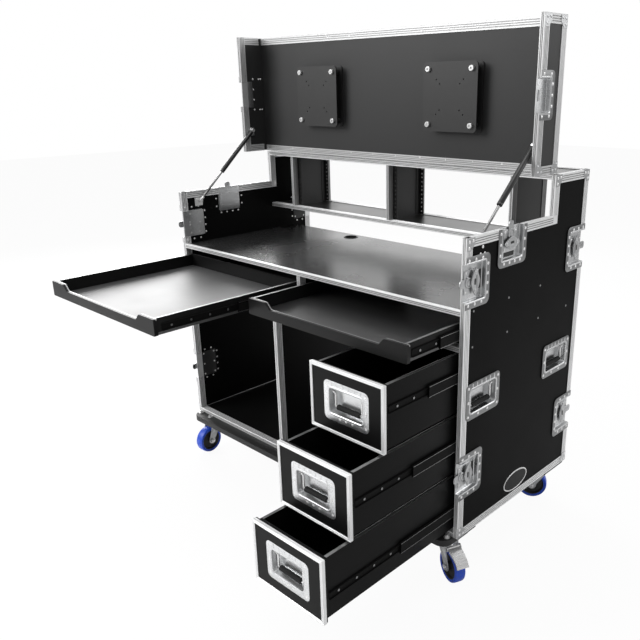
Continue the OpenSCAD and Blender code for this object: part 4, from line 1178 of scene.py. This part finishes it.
def corner_shells(corners):
    """Corner plates and their rivets, for corners given as (y, z, inward y, inward z)."""
    outline = np.array([(0.4, 0.4), (CORNER, 0.4), (CORNER, 18), (18, CORNER), (0.4, CORNER)])
    middle = outline.mean(0)
    levels = [(1.0, 0.0), (1.0, 0.8), (0.965, 1.2), (0.8, 1.2)]
    plate = loft(stack([(middle + (outline - middle) * scale, height) for scale, height in levels]))
    plates = [put(plate, (half_w, y, z), sy * Y, sz * Z, X) for y, z, sy, sz in corners]
    holes = ((10, 10), (26, 9), (9, 26))
    spots = [(half_w + FLANGE, y + sy * a, z + sz * b) for y, z, sy, sz in corners for a, b in holes]
    return plates, stamp(RIVET, spots, Y, Z, X)


def handle_rivet_spots(width, height):
    """Three rivets on each side of a handle dish and two below its pit: (across, up) points."""
    sides = [(a * (width / 2 - 10), b * (height / 2 - 12)) for a in (-1, 1) for b in (-1, 0, 1)]
    return sides + [(a, -height / 2 + 10) for a in (-22, 22)]


def stud_plate(x_low, x_high, ball):
    """Plate behind a ball stud of the gas strut."""
    low = (x_low, ball[0] - STUD_REACH, ball[1] - STUD_DOWN)
    return slab(low, (x_high, ball[0] + STUD_REACH, ball[1] + STUD_UP), 0.5)


corners, corner_rivets = corner_shells([
    (-half_d, base, 1, 1), (half_d, base, -1, 1), (half_d, hutch_top, -1, -1),
    (hutch_front, hutch_top, 1, -1), (-half_d, side_top, 1, -1),
])
spots = [(half_w + FLANGE, y + a, handle_z + b) for y in handle_y for a, b in handle_rivet_spots(*HANDLE)]
spots += [(skin_out, ball_low[0] + a, ball_low[1] + b) for a, b in STUD_HOLES]
screw_rows = {desk_low + FACE / 2: (-265, -100, 65), shelf_low + FACE / 2: (-265, -100, 65, 230)}
screws = [(skin_out, y, z) for z, row in screw_rows.items() for y in row]
stud = lathe([(3, 0), (3, 6), (5, 6.5), (5, 9), (3, 9.5), (3, 14)], 16)
stud = put(stud, (STRUT_X - 2.6, *ball_low), Y, Z, X)
rivets = [corner_rivets, stamp(RIVET, spots, Y, Z, X), stud_plate(skin_in - 2, skin_in, ball_low), stud]
latch_rivets = at_latches([stamp(RIVET, latch_rivet_spots(), *OUTWARD)])
piece(
    "corner_plates_riveted", "case",
    [
        (zinc_plate, both_sides(corners)), (rivet_steel, both_sides(rivets) + latch_rivets),
        (fork_steel, both_sides([stamp(dome(3.2, 1.2), screws, Y, Z, X)])),
    ],
    ["corner_plates"],
)

# %% [markdown]
# ## Drawers
#
# A drawer is a box of black board with a front panel, and the panel's edge is wrapped in an aluminium frame
# mitred at its corners. A frame could be four bars, but a section carried round a rectangle gives the mitres
# by itself: each point of the section is a rectangle, inset by one number and set back by another.

# %% Drawers and slides
TRAVEL = 500.0
SLIDE_GAP = 12.7
BOX_WALL = 9.0
BOX_DEPTH = TRAVEL + 20
FRONT_T = 14.0
DRAWER_SLIDE_UP = {"lower": 66.0, "middle": 90.0, "upper": 110.0}
PULL_SET = 2.42
SCREW_PITCH = 62
drawer_cx = (drawer_low[0] + drawer_high[0]) / 2
drawer_w = drawer_high[0] - drawer_low[0]
box_left = drawer_divider + BOARD + SLIDE_GAP + 0.2
box_right = skin_in - SLIDE_GAP - 0.2
drawer_walls = ((drawer_divider + BOARD, 1), (skin_in, -1))
slide_start = -half_d + LEG + 1


def around(width, height, section):
    """A closed section of (inset, depth) points carried round a rectangle."""
    return closed_loft(stack([
        (rounded(width - 2 * inset, height - 2 * inset, max(1.2 - inset, 0.1), 2), depth)
        for inset, depth in section
    ]))


def opening_board(outer, inner, front, back):
    """A board between two depths with an opening, from its outer and its inner outline."""
    return closed_loft(stack([(outer, front), (outer, back), (inner, back), (inner, front)]))


def member(height, section):
    """Slide section mirrored about its middle: points (out from the wall, up) from the lower half's list."""
    lower = np.array([(out, up - height) for out, up in section])
    return np.concatenate([lower, lower[::-1] * [1, -1]])


MIDDLE_MEMBER = member(16, [
    (4.4, 2.6), (7, 2.6), (7, 5.7), (10.8, 5.7), (10.8, 1.4), (8.5, 1.4), (8.5, 0), (5, 0), (5, 1.4),
    (3.2, 1.4),
])
# Painted highlight: a thin strip of paler metal beside each rolled lip of the middle member.
MEMBER_RIM_HIGHLIGHT = np.array([(2.95, 13.6), (3.15, 13.6), (3.15, 14.5), (2.95, 14.5)])
INNER_MEMBER = member(10, [(11.3, 1.2), (7.5, 1.2), (7.5, 0), (12.7, 0)])
FRAME_SECTION = [
    (0, 9.5), (0, 0.5), (0.5, 0), (2.6, 0), (3.0, 0.6), (4.0, 0.6), (4.4, 0), (6.4, 0), (6.8, 0.6),
    (7.6, 0.6), (8.0, 0), (8.6, 0), (9.0, 0.5), (9.0, 1.5), (1.4, 1.5), (1.4, 9.5),
]


def slide_runs(section, walls, height, out):
    """A slide member on each wall, given as its x and its facing of +1 or -1, moved forward by out."""
    body = prism(section, slide_start, slide_start + TRAVEL - 6)
    return [put(body, (x, -out, height), facing * X, Z, Y) for x, facing in walls]


def slide_screws(walls, height, out):
    """Pan heads along the inner members."""
    heads = []
    for x, facing in walls:
        first = slide_start - out + 30
        places = [(x + facing * (SLIDE_GAP - 3), first + SCREW_PITCH * k, height) for k in range(8)]
        heads.append(stamp(SMALL_RIVET, places, Y, Z, facing * X))
    return heads


def make_middle(body, walls, height, out):
    """Middle members of a pair of slides, with bright ball cages at their ends and thin pale strips painted
    as highlights on the rims.
    """
    bright = []
    for x, facing in walls:
        near, far = sorted((x + facing * 5.2, x + facing * 6.4))
        for start in (8, TRAVEL - 40):
            start += slide_start - out / 2
            bright.append(slab((near, start, height - 12.6), (far, start + 24, height + 12.6), 0.3))
    rim_highlights = [rim for up in (1, -1) for rim in slide_runs(MEMBER_RIM_HIGHLIGHT * [1, up], walls, height, out / 2)]
    members = slide_runs(MIDDLE_MEMBER, walls, height, out / 2)
    name = f"{body}_slides"
    groups = [(slide_black, members), (bolt_steel, bright), (slide_rim_highlight, rim_highlights)]
    piece(name + "_middle", f"{body}_middle", groups, [name])


def make_drawer(name):
    """Box, front, pull, bail and slides of one drawer."""
    low, high = cad_box(f"{name}_drawer_trim")
    front, bottom, middle = low[1], low[2], (low[2] + high[2]) / 2
    out = -half_d - front
    face_at, pull_at = (drawer_cx, front, middle), (drawer_cx, front + PULL_SET, middle)
    pull_axes = (-Y, X, Z)
    inner = rounded(PULL[0] - PIT_INSET[0] + 2.4, PULL[1] - PIT_INSET[1] + 2.4, 0.5, 2)
    panel = opening_board(rounded(drawer_w - 3, DRAWER_H - 3, 0.5, 2), inner, 1.5, FRONT_T)
    box_front = rounded(box_right - box_left, DRAWER_H - 10, 0.5, 2)
    box_front = opening_board(box_front, inner, FRONT_T, FRONT_T + BOX_WALL)
    start, end = front + FRONT_T + BOX_WALL + FIT, front + BOX_DEPTH - BOX_WALL - FIT
    floor, top, back = bottom + 13.1, bottom + DRAWER_H - 5, front + BOX_DEPTH
    boards = [
        put(panel, face_at, X, Z, Y), put(box_front, ((box_left + box_right) / 2, front, middle), X, Z, Y),
        slab((box_left, start, bottom + 5), (box_right, back, bottom + 13), 0.5),
        slab((box_left, end + FIT, floor), (box_right, back, top), 0.8),
    ]
    strips = []
    for x in (box_left, box_right - BOX_WALL):
        boards.append(slab((x, start, floor), (x + BOX_WALL, end, top - 0.4), 0.4))
        strips.append(slab((x + 0.3, start, top - 0.6), (x + BOX_WALL - 0.3, end, top), 0.3))
    height = bottom + DRAWER_SLIDE_UP[name]
    body = f"{name}_drawer"
    piece(
        f"{body}_boards", body,
        [
            (black_board, boards), (edge_colour_and_highlight_strip, strips),
            (slide_black, slide_runs(INNER_MEMBER, drawer_walls, height, out)),
            (fork_steel, slide_screws(drawer_walls, height, out)),
        ],
        [f"{body}_box"],
    )
    rivets = [(FLANGE, a, b) for a, b in (*handle_rivet_spots(*PULL), (0, -PULL[1] / 2 + 10))]
    rivets = stamp(dome(4.0, 0.45), rivets, *OUTWARD)
    flange, bowl = closed_dish(*PULL)
    groups = [
        (edging, [put(around(drawer_w, DRAWER_H, FRAME_SECTION), face_at, X, Z, Y)]),
        (zinc_pull, put_all(flange + bowl, pull_at, *pull_axes)),
        (rivet_steel, [put(rivets, pull_at, *pull_axes)]),
    ]
    piece(f"{body}_frame", body, groups, [f"{body}_trim"])
    bail = f"{body}_bail"
    piece(bail + "_bar", bail, bail_groups(*PULL, pull_at, pull_axes), [bail])
    make_middle(body, drawer_walls, height, out)


for name in DRAWER_SLIDE_UP:
    make_drawer(name)

# %% [markdown]
# ## Trays
#
# The two trays are shallow boxes of black board whose front wall dips between raised ends, and they pull out
# on the same ball slides. The dip is an outline with two slopes, carried through the wall's thickness.

# %% Trays
TRAY_WALL = 9.0
TRAY_FRONT = 12.1
TRAY_TOP, TRAY_DIP = 48.0, 29.0
TRAY_SLIDE_UP = 20.0
tray_walls = {"left": ((-skin_in, 1), (-BOARD / 2, -1)), "right": ((BOARD / 2, 1), (skin_in, -1))}


def tray_front():
    """Outline of the front wall as (across, up), with the dip between its raised ends and eased corners."""
    left, right = BOARD / 2 + 6.5, leg_in - 2
    path = [
        (left, 0), (right, 0), (right, TRAY_TOP), (right - 76, TRAY_TOP), (right - 94, TRAY_DIP),
        (left + 93.5, TRAY_DIP), (left + 75.5, TRAY_TOP), (left, TRAY_TOP),
    ]
    return soften(path[-1:] + path + path[:1], 4.0, 4)[1:-1]


def lip_highlight_band():
    """Bright line painted as a highlight along the top of the front wall: a thin band under the upper part of
    its outline.
    """
    line = tray_front()
    upper = line[line[:, 1] > 20]
    upper = upper[np.argsort(upper[:, 0], kind="stable")]
    return prism(np.concatenate([upper - [0, 0.8], (upper + [0, 0.15])[::-1]]), 7.6, 11.2)


def make_tray(side):
    """One tray with its inner members, made on the right and mirrored for the left, and its middle ones."""
    front, bottom = cad_box(f"{side}_tray")[0][1:]
    out = -half_d - front
    x0, x1 = BOARD / 2 + SLIDE_GAP + 0.2, skin_in - SLIDE_GAP - 0.2
    back, top = front + BOX_DEPTH, bottom + TRAY_TOP
    start, end, floor = front + TRAY_FRONT, back - TRAY_WALL - FIT, bottom + 8.1
    boards = [
        put(prism(tray_front(), 0, 12), (0, front, bottom), X, Z, Y),
        slab((x0, back - TRAY_WALL, floor), (x1, back, top), 1.2),
        slab((x0, start, floor), (x0 + TRAY_WALL, end, top), 1.2),
        slab((x1 - TRAY_WALL, start, floor), (x1, end, top), 1.2),
    ]
    # Painted highlight: pale strips along the tops of the tray's side walls, and along the front wall's lip.
    strips = [
        slab((x, start, top - 0.3), (x + TRAY_WALL - 1.6, end, top + 0.25), 0.2)
        for x in (x0 + 0.8, x1 - TRAY_WALL + 0.8)
    ]
    strips.append(put(lip_highlight_band(), (0, front, bottom), X, Z, Y))
    height = bottom + TRAY_SLIDE_UP
    groups = [
        (tray_board, boards), (tray_floor_lit_and_shaded[side], [slab((x0, start, bottom), (x1, back, bottom + 8), 0.5)]),
        (edge_colour_and_highlight_strip, strips), (slide_black, slide_runs(INNER_MEMBER, tray_walls["right"], height, out)),
        (fork_steel, slide_screws(tray_walls["right"], height, out)),
    ]
    piece(f"{side}_tray_boards", f"{side}_tray", to_side(side, groups), [f"{side}_tray"])
    make_middle(f"{side}_tray", tray_walls[side], height, out)


make_tray("left")
make_tray("right")

# %% [markdown]
# ## Lid
#
# The lid is a shallow box whose side walls have the same edging, and its catch dish is the latch dish in a
# smaller size. Its strips on the board, its corner plates and the hinge's moving leaf all ride on the lid.

# %% Lid edging
CATCH_REACH, CATCH_HALF = 68.0, 63.0
catch_z = hinge_z + hinge_y - LATCH_TOP_Y
catch_at = (half_w + FIT, lid_front, catch_z)
BALL_HIGH_IN, BALL_HIGH_UP = 27, 79
ball_high = np.array([lid_front + BALL_HIGH_IN, lid_bottom + BALL_HIGH_UP])


def lid_side():
    """Edging of the right side wall: rim, its two ends, the back corner angle and the strips' ends."""
    front = (leg_in, lid_front, 0)
    parts = broken_run(front, Y, Z, lid_bottom - FIT, lid_top + FIT, (catch_z,), CATCH_HALF - LATCH_RIM + FIT)
    for z, inward in ((lid_bottom, Z), (lid_top, -Z)):
        parts.append(run(channel(), (leg_in, 0, z), X, inward, Y, lid_front + LEG, lid_back - LEG))
    groove = (3, 2.6, 0.55)
    angle = np.concatenate([
        grooved((0, 0), (-LEG, 0), *groove, (0, -1)), [(-LEG, -GAUGE), (-GAUGE, -GAUGE), (-GAUGE, -LEG)],
        grooved((0, -LEG), (0, 0), *groove, (-1, 0))[:-1],
    ])
    parts.append(put(prism(angle, lid_bottom, lid_top), (half_w, lid_back, 0)))
    for low, high in ((lid_bottom, lid_bottom + LEG - 4), (lid_top - LEG, lid_top)):
        parts.append(slab((half_w - LEG, lid_face, low), (leg_in, lid_board, high), 0.4))
    return parts


def lid_hardware():
    """Catch dish, its keeper and cover, the upper plate and stud of the gas strut, and all their rivets."""
    flange, *bowl = put_all(dish_sheet(CATCH_REACH, CATCH_HALF, LATCH_RIM, LATCH_PIT, 14), catch_at)
    keeper = slab((-LATCH_PIT + 1.2, 6, -14), (-LATCH_PIT + 3.6, 12, 14), 0.5)
    cover = slab((-LATCH_PIT - COVER, LEG + FIT, -46), (-LATCH_PIT, 49.5, 46), 0.4)
    plain = put_all([keeper, cover], catch_at)
    plain.append(stud_plate(leg_in - 2, leg_in - FIT, ball_high))
    plain.append(put(lathe([(4, 0), (4, 2.5)], 16), (STRUT_X + 8, *ball_high), Y, Z, X))
    seat, inner = FLANGE - FIT, -LATCH_PIT - FIT
    spots = [(seat, a, b) for b in (-53, 53) for a in (12, 48)] + [(seat, 58, b) for b in (-28, 0, 28)]
    inside = [(inner, 54, b) for b in (-55, -18, 18, 55)]
    inside += [(inner, a, b) for a in (80, 90) for b in (-55, 55)]
    heads = put_all([stamp(RIVET, spots, *OUTWARD), stamp(SMALL_RIVET, inside, *INWARD)], catch_at)
    plate_spots = [(leg_in - 2, ball_high[0] + a, ball_high[1] + b) for a, b in STUD_HOLES]
    heads.append(stamp(dome(3.0, 1.0, 10), plate_spots, Y, -Z, -X))
    return [flange], bowl, plain, heads


def lid_corners():
    """Corner plates of the right side wall with their rivets."""
    ends = ((lid_bottom, 1), (lid_top, -1))
    plates, rivets = corner_shells([
        (y, z, sy, sz) for y, sy in ((lid_front, 1), (lid_back, -1)) for z, sz in ends
    ])
    return plates + [rivets]


strips = [
    run(channel(FACE, LEG - 4), (0, lid_face, lid_bottom), Y, Z, X, LEG - half_w, half_w - LEG),
    run(channel(), (0, lid_face, lid_top), Y, -Z, X, LEG - half_w, half_w - LEG),
]
leaf_front, leaf_back = lid_back + FIT, lid_back + LEAF
leaf = [slab((-leg_in + 20, leaf_front, hinge_z + 5), (leg_in - 20, leaf_back, hinge_z + 22), 0.3)]
leaf += knuckles(1)
for low, high in knuckle_ends(1):
    leaf.append(slab((low, leaf_front, hinge_z), (high, leaf_back, hinge_z + 6), 0.2))
hinge_screws = [(x, leaf_back, hinge_z + 14) for x in np.linspace(-leg_in + 60, leg_in - 60, 16)]
strip_rivets = [(x, lid_face, z) for z in (lid_bottom + 14, lid_top - 16) for x in np.linspace(-570, 570, 12)]
runs, flanges, bowls, plain, heads, corners = (
    both_sides(parts) for parts in (lid_side(), *lid_hardware(), lid_corners())
)
piece(
    "lid_edging_runs", "lid",
    [
        (lid_edging, runs + strips), (zinc_flange, flanges), (zinc_dish, bowls),
        (zinc_plate, plain + corners),
        (rivet_steel, heads + [stamp(dome(2.8, 1.0, 10), strip_rivets, X, Z, -Y)]),
        (bolt_steel, leaf + [stamp(dome(3.0, 0.9, 10), hinge_screws, X, -Z, Y)]),
    ],
    ["lid_edging"],
)

# The socket screws of the monitor plates have bright heads on dark plates.
low, high = cad_box("monitor_plates")
cap = lathe([(7.6, 0.3), (8.2, 0.9), (8.2, 6.4), (7.6, 7.2), (3.2, 7.2), (3.0, 3.2)], 20)
plate_x, plate_z = high[0] - 100, (low[2] + high[2]) / 2
caps = [(s * plate_x + a, low[1] + 7, plate_z + b) for s in (-1, 1) for a in (-80, 80) for b in (-80, 80)]
piece("monitor_screw_caps", "lid", [(bolt_steel, [stamp(cap, caps, X, Z, -Y)])])

# %% [markdown]
# ## Gas struts
#
# A strut is a chrome rod that slides in a painted tube, with a bright socket on the ball stud at each end.
# Both are turned parts, so each is a profile of radius against length, laid along the line between the balls.

# %% Gas struts
strut = ball_high - ball_low
STRUT_LEN = float(np.linalg.norm(strut))
TUBE_SHARE = 0.6
strut_along = np.array([0, *strut]) / STRUT_LEN
STRUT_AXES = ((STRUT_X, *ball_low), X, np.cross(X, strut_along), strut_along)


def socket(along, towards):
    """Round end fitting on a ball stud and the neck that screws on to the rod or tube."""
    eye = lathe([(4.2, -6), (6.4, -6), (7, -5.2), (7, 7), (6.2, 7.7), (3.3, 7.7), (3.3, -4), (1, -4)], 24)
    low, high = sorted((along + towards * 5.5, along + towards * 17))
    neck = lathe([(4.6, low), (5.2, low + 1), (5.2, high - 1), (4.6, high)], 20)
    return put_all([put(eye, (0, 0, along), *OUTWARD), neck], *STRUT_AXES)


reach = STRUT_LEN - TUBE_SHARE * STRUT_LEN
rod = lathe([(3.4, 5), (4, 6), (4, reach + 49), (3.4, reach + 50)], 24)
barrel = bored([
    (4.3, reach), (7.4, reach), (8, reach + 0.8), (8, reach + 4), (7.7, reach + 4.6), (7.7, reach + 7),
    (8, reach + 7.6), (8, STRUT_LEN - 9), (6.6, STRUT_LEN - 6), (3, STRUT_LEN - 6), (3, STRUT_LEN - 13),
    (4.3, STRUT_LEN - 13),
], 28)
rod_groups = [(chrome_rod, [put(rod, *STRUT_AXES)]), (bolt_steel, socket(0, 1))]
tube_groups = [(strut_paint, [put(barrel, *STRUT_AXES)]), (bolt_steel, socket(STRUT_LEN, -1))]
for side in ("right", "left"):
    for kind, slot, groups in (("rod", "chrome_rod", rod_groups), ("tube", "black_steel", tube_groups)):
        name = f"{side}_strut_{kind}"
        piece(name + "_turned", name, to_side(side, groups), [name])

# %% [markdown]
# ## Casters
#
# The front casters are bolted to a plank with round corners that stands ahead of the case. A nut is a hexagon
# whose corners are cut by a cone: at each angle its radius is the smaller of the hexagon's and the cone's.

# %% Planks and caster plates
PLATE_Z, FORK_TOP = 130.0, 129.7
PLATE_TOP = PLATE_Z + 4
PLANK_HALF = 80
PLANK_IN = 13
SWIVEL = (half_w - 58, half_d - 29.5)


def board(outline, low, high, ease=1.2):
    """A flat board from an outline function of the inset, with both its edges rounded."""
    third = 0.35 * ease
    insets = [(ease, low), (third, low + third), (0, low + ease)]
    insets += [(0, high - ease), (third, high - third), (ease, high)]
    return loft(stack([(outline(inset), level) for inset, level in insets]))


def front_plank(inset):
    """Outline of the front plank with its two round front corners."""
    half, front, back = half_w - PLANK_IN - inset, -half_d - 40 + inset, PLANK_HALF - SWIVEL[1] - inset
    radius = 34 - inset
    turn = np.linspace(0, math.pi / 2, 13)
    right = np.array([half - radius, front]) + radius * np.stack([np.sin(turn), 1 - np.cos(turn)], -1)
    line = np.concatenate([right, [(half, back)]])
    return np.concatenate([line, line[::-1] * [-1, 1]])


def plate_outline(inset):
    """Outline of a caster's top plate."""
    return rounded(85 - 2 * inset, 105 - 2 * inset, 9 - inset, 5)


def nut(radius, height, thread=4.0):
    """Hexagon nut with a cut cone at both ends and the end of its bolt standing out on top."""
    angle = np.arange(36) * math.pi / 18
    hexagon = radius * math.cos(math.pi / 6) / np.cos((angle + math.pi / 6) % (math.pi / 3) - math.pi / 6)
    cone, bolt = np.minimum(hexagon, radius * 0.9), np.ones(36)
    levels = [
        (cone, 0), (hexagon, height * 0.14), (hexagon, height * 0.86), (cone, height),
        (bolt * (thread + 0.6), height), (bolt * thread, height - 0.5), (bolt * thread, height + 1.2),
        (bolt * thread * 0.8, height + 1.8),
    ]
    return loft(stack([(circle(1.0, 36) * distance[:, None], level) for distance, level in levels]))


plank_back = SWIVEL[1] - PLANK_HALF
planks = [
    board(front_plank, PLATE_TOP, base),
    slab((-half_w + PLANK_IN, plank_back, PLATE_TOP), (half_w - PLANK_IN, half_d + 10, base), 1.5),
    slab((-half_w + 40, -plank_back, PLATE_TOP), (half_w - 40, plank_back, base - 0.3), 0.5),
]
piece("caster_planks", "case", [(plank_film, planks)], ["caster_boards"])
plate = board(plate_outline, PLATE_Z, PLATE_TOP, 0.5)
pin = lathe([(0.5, 117.7), (6.8, 117.7), (8, 118.9), (8, PLATE_Z)], 24)
washer = lathe([(4, 0), (9.2, 0), (9.6, 0.4), (9.6, 1.1), (4, 1.1)], 20)
plates, nuts = [], []
for at in [np.array([sx * SWIVEL[0], sy * SWIVEL[1], 0]) for sx in (-1, 1) for sy in (-1, 1)]:
    plates += put_all([plate, pin], at)
    nuts.append(stamp(nut(7, 5), [at + (a, b, PLATE_Z) for a in (-30, 30) for b in (-40, 40)], X, -Y, -Z))
    if at[1] < 0:
        top = [at + (a, -40, base) for a in (-30, 30)]
        nuts += [stamp(nut(7, 7), top, X, Y, Z), stamp(washer, top, X, Y, Z)]
groups = [(fork_steel, plates), (bolt_steel, nuts)]
piece("caster_plates_bolted", "case", groups, ["caster_plates"])

# %% [markdown]
# ## Forks and wheels
#
# A fork is pressed from one sheet: a round crown, two legs with stiffening flutes and a rolled edge. The legs
# are drawn as an outline and its insets, so the raised border is rings at other heights, and the flutes are
# thin bars half sunk in the face. The wheel is turned, with a blue tread on a black hub.

# %% Forks
TRAIL, WHEEL_R = 38.0, 50.0
FORK_IN = 20.0
PEDAL_AT = (40, 0, FORK_TOP - 20)
AXLE = (X, -Z, Y)
AXLE_BACK = (X, Z, -Y)
HEADINGS = {
    "front_left": (-1, -1, -85), "front_right": (1, -1, -24),
    "back_left": (-1, 1, -120), "back_right": (1, 1, -150),
}


def caster_axes(name):
    """Origin and axes of a caster: trail direction, axle direction and up."""
    sx, sy, heading = HEADINGS[name]
    c, s = math.cos(math.radians(heading)), math.sin(math.radians(heading))
    return np.array([sx * SWIVEL[0], sy * SWIVEL[1], 0]), np.array([c, s, 0]), np.array([-s, c, 0]), Z


def leg_outline():
    """Side view of a fork leg, from the crown down to the round end about the axle, and its middle.

    The three straight sides at the crown are cut in eight, so that the insets follow them closely.
    """
    turn = np.radians(np.linspace(15, -195, 15))
    end = np.array([TRAIL, WHEEL_R]) + 14 * np.stack([np.cos(turn), np.sin(turn)], -1)
    line = np.concatenate([[(-26, FORK_TOP - 2), (26, FORK_TOP - 2)], end])
    steps = np.linspace(0, 1, 9)[:-1, None]
    first, second, back = (a * (1 - steps) + b * steps for a, b in zip(line[[0, 1, -1]], line[[1, 2, 0]]))
    return np.concatenate([first, second, line[3:-1], back]), line.mean(0)


def fork_shells(side):
    """One leg: plain inner face, raised border and three flutes on the outer face."""
    line, middle = leg_outline()
    levels = [(1.0, 0.0), (1.0, 2.4), (0.97, 3.0), (0.90, 3.0), (0.86, 2.0), (0.5, 2.0)]
    rings = stack([(middle + (line - middle) * scale, side * (FORK_IN + height)) for scale, height in levels])
    swell = np.array([0.6, 2.0, 2.3, 2.3, 2.3, 2.0, 0.6])
    flutes = []
    for k in (-1, 0, 1):
        depth = side * (FORK_IN + 1.6)
        top, bottom = (k * 11.0 + 2, depth, FORK_TOP - 12), (TRAIL + k * 5.0 - 4, depth, WHEEL_R + 26)
        flutes.append(tube(np.linspace(top, bottom, 7), swell, 10, Y))
    return [loft(rings[..., [0, 2, 1]])] + flutes


crown = bored([
    (8.3, 115.7), (29, 115.7), (31.5, 116.6), (32, 118.5), (32, 120.5), (30.5, 121.6), (30.5, 123.0),
    (31.6, 124.0), (31.6, 127.0), (30.6, 128.4), (28, FORK_TOP), (8.3, FORK_TOP),
])
outer = FORK_IN + 3
fork = [crown, *fork_shells(1), *fork_shells(-1)]
axle_nut = nut(9, 6, 5)
bright = [
    put(lathe([(5, -outer), (5, outer)], 20), (TRAIL, 0, WHEEL_R), *AXLE),
    put(axle_nut, (TRAIL, outer, WHEEL_R), *AXLE), put(axle_nut, (TRAIL, -outer, WHEEL_R), *AXLE_BACK),
]
boss = lathe([(8, FORK_IN), (8, FORK_IN + 2.6), (7.4, outer), (4, outer), (4, FORK_IN - 4)], 20)
bosses = [put(boss, PEDAL_AT, X, Z, s * Y) for s in (-1, 1)]
for name in HEADINGS:
    axes = caster_axes(name)
    body = fork + (bosses if name == "front_right" else [])
    groups = [(fork_zinc, put_all(body, *axes)), (bolt_steel, put_all(bright, *axes))]
    piece(f"{name}_fork_pressed", f"{name}_fork", groups, [f"{name}_fork"])

# %% Wheels
tyre = [
    (39, -15), (45, -15.6), (46.5, -16.6), (48.2, -15.4), (49.4, -12.5), (50, -8), (50, 8), (49.4, 12.5),
    (48.2, 15.4), (46.5, 16.6), (45, 15.6), (39, 15),
]
hub = [
    (5.3, -19.7), (13, -19.7), (14, -18.8), (14, -11), (20, -8.5), (34, -8.5), (37, -14), (39.2, -15.2),
    (39.2, 15.2), (37, 14), (34, 8.5), (20, 8.5), (14, 11), (14, 18.8), (13, 19.7), (5.3, 19.7),
]
tyre, hub = (put(bored(profile, 56), (TRAIL, 0, WHEEL_R), *AXLE) for profile in (tyre, hub))
for name in HEADINGS:
    axes = caster_axes(name)
    groups = [(blue_tread, [put(tyre, *axes)]), (black_plastic, [put(hub, *axes)])]
    piece(f"{name}_wheel_turned", f"{name}_wheel", groups, [f"{name}_wheel"])

# %% Brake pedal


def pedal_shells():
    """Side view of the pedal carried across the fork, with tread bars on its face and two cheeks."""
    path = np.array([(2, 4.2), (18, 1.0), (34, -6.2), (47.5, -15.6), (59.5, -32.0)])
    along = np.linspace(0, 4, 17)
    spaced = np.column_stack([np.interp(along, np.arange(5), path[:, k]) for k in (0, 1)])
    tangent = np.gradient(spaced, axis=0)
    tangent /= np.linalg.norm(tangent, axis=1, keepdims=True)
    normal = np.stack([tangent[:, 1], -tangent[:, 0]], -1)
    half = FORK_IN - 1.0
    outline = np.concatenate([spaced, (spaced + normal * 3.0)[::-1]])
    parts = [put(prism(outline, -half, half), (0, 0, 0), X, Z, -Y)]
    parts.append(put(bored([(4.4, -half), (7, -half), (7, half), (4.4, half)], 24), (0, 0, 0), *AXLE))
    bar = slab((-1.4, -half + 3, -0.4), (1.4, half - 3, 1.2), 0.6)
    for point, (t_x, t_z), (n_x, n_z) in zip(spaced[6:15:2], tangent[6:15:2], normal[6:15:2]):
        parts.append(put(bar, (point[0], 0, point[1]), (t_x, 0, t_z), Y, (-n_x, 0, -n_z)))
    side_view = [(0, -3), (46, -20), (58, -33), (60.5, -31.5), (47.5, -15), (2, 5)]
    parts += [put(prism(side_view, s * (half - 2), s * half), (0, 0, 0), X, Z, Y) for s in (-1, 1)]
    return parts


pedal = put_all(put_all(pedal_shells(), PEDAL_AT), *caster_axes("front_right"))
piece("brake_pedal_pressed", "front_right_brake", [(bolt_steel, pedal)], ["front_right_brake"])

# %% [markdown]
# ## Oval plate and grommet
#
# The plate on the side is a blank oval with a bright border round a dark field. The grommet lines the cable
# hole of the desk. The oval's parts are stacks of rings, each a circle stretched to the oval's two lengths.

# %% Oval plate and grommet
OVAL = np.array([65.0, 32.5])
OVAL_Y, OVAL_UP = -8.0, 61
GROMMET_X, GROMMET_IN = -253, 44.5
oval_at = (skin_out, OVAL_Y, base + OVAL_UP)


def oval_stack(rows):
    """Ovals from pairs of growth and height, lofted on the side of the case."""
    rings = stack([(circle(1.0, 64) * (OVAL + grow), level) for grow, level in rows])
    return [put(loft(rings), oval_at, Y, Z, X)]


oval = [
    (bolt_steel, oval_stack([(0, 0), (0, 1.1), (-0.6, 1.5), (-3.4, 1.5), (-4.0, 1.1), (-4.6, 1.1)])),
    (badge_field, oval_stack([(-4.4, 1.0), (-4.6, 1.3), (-5.6, 1.4), (-20, 1.4)])),
]
piece("oval_plate_blank", "case", oval, ["oval_plate"])
collar = [(22, -12.5), (24, -12.5), (24, 0), (27, 0), (27, 0.9), (25.6, 1.8), (23.4, 2), (22, 1.2)]
grommet = put(bored(collar, 48), (GROMMET_X, desk_back - GROMMET_IN, desk_top - GAUGE))
piece("grommet_turned", "case", [(black_plastic, [grommet])], ["desk_grommet"])

# %% [markdown]
# ## Sizes at the end
#
# The box of the dressed model is worked out at the end. The dressed model must stay in the CAD
# model's box.

# %% Bounds of the dressed model
low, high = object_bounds()
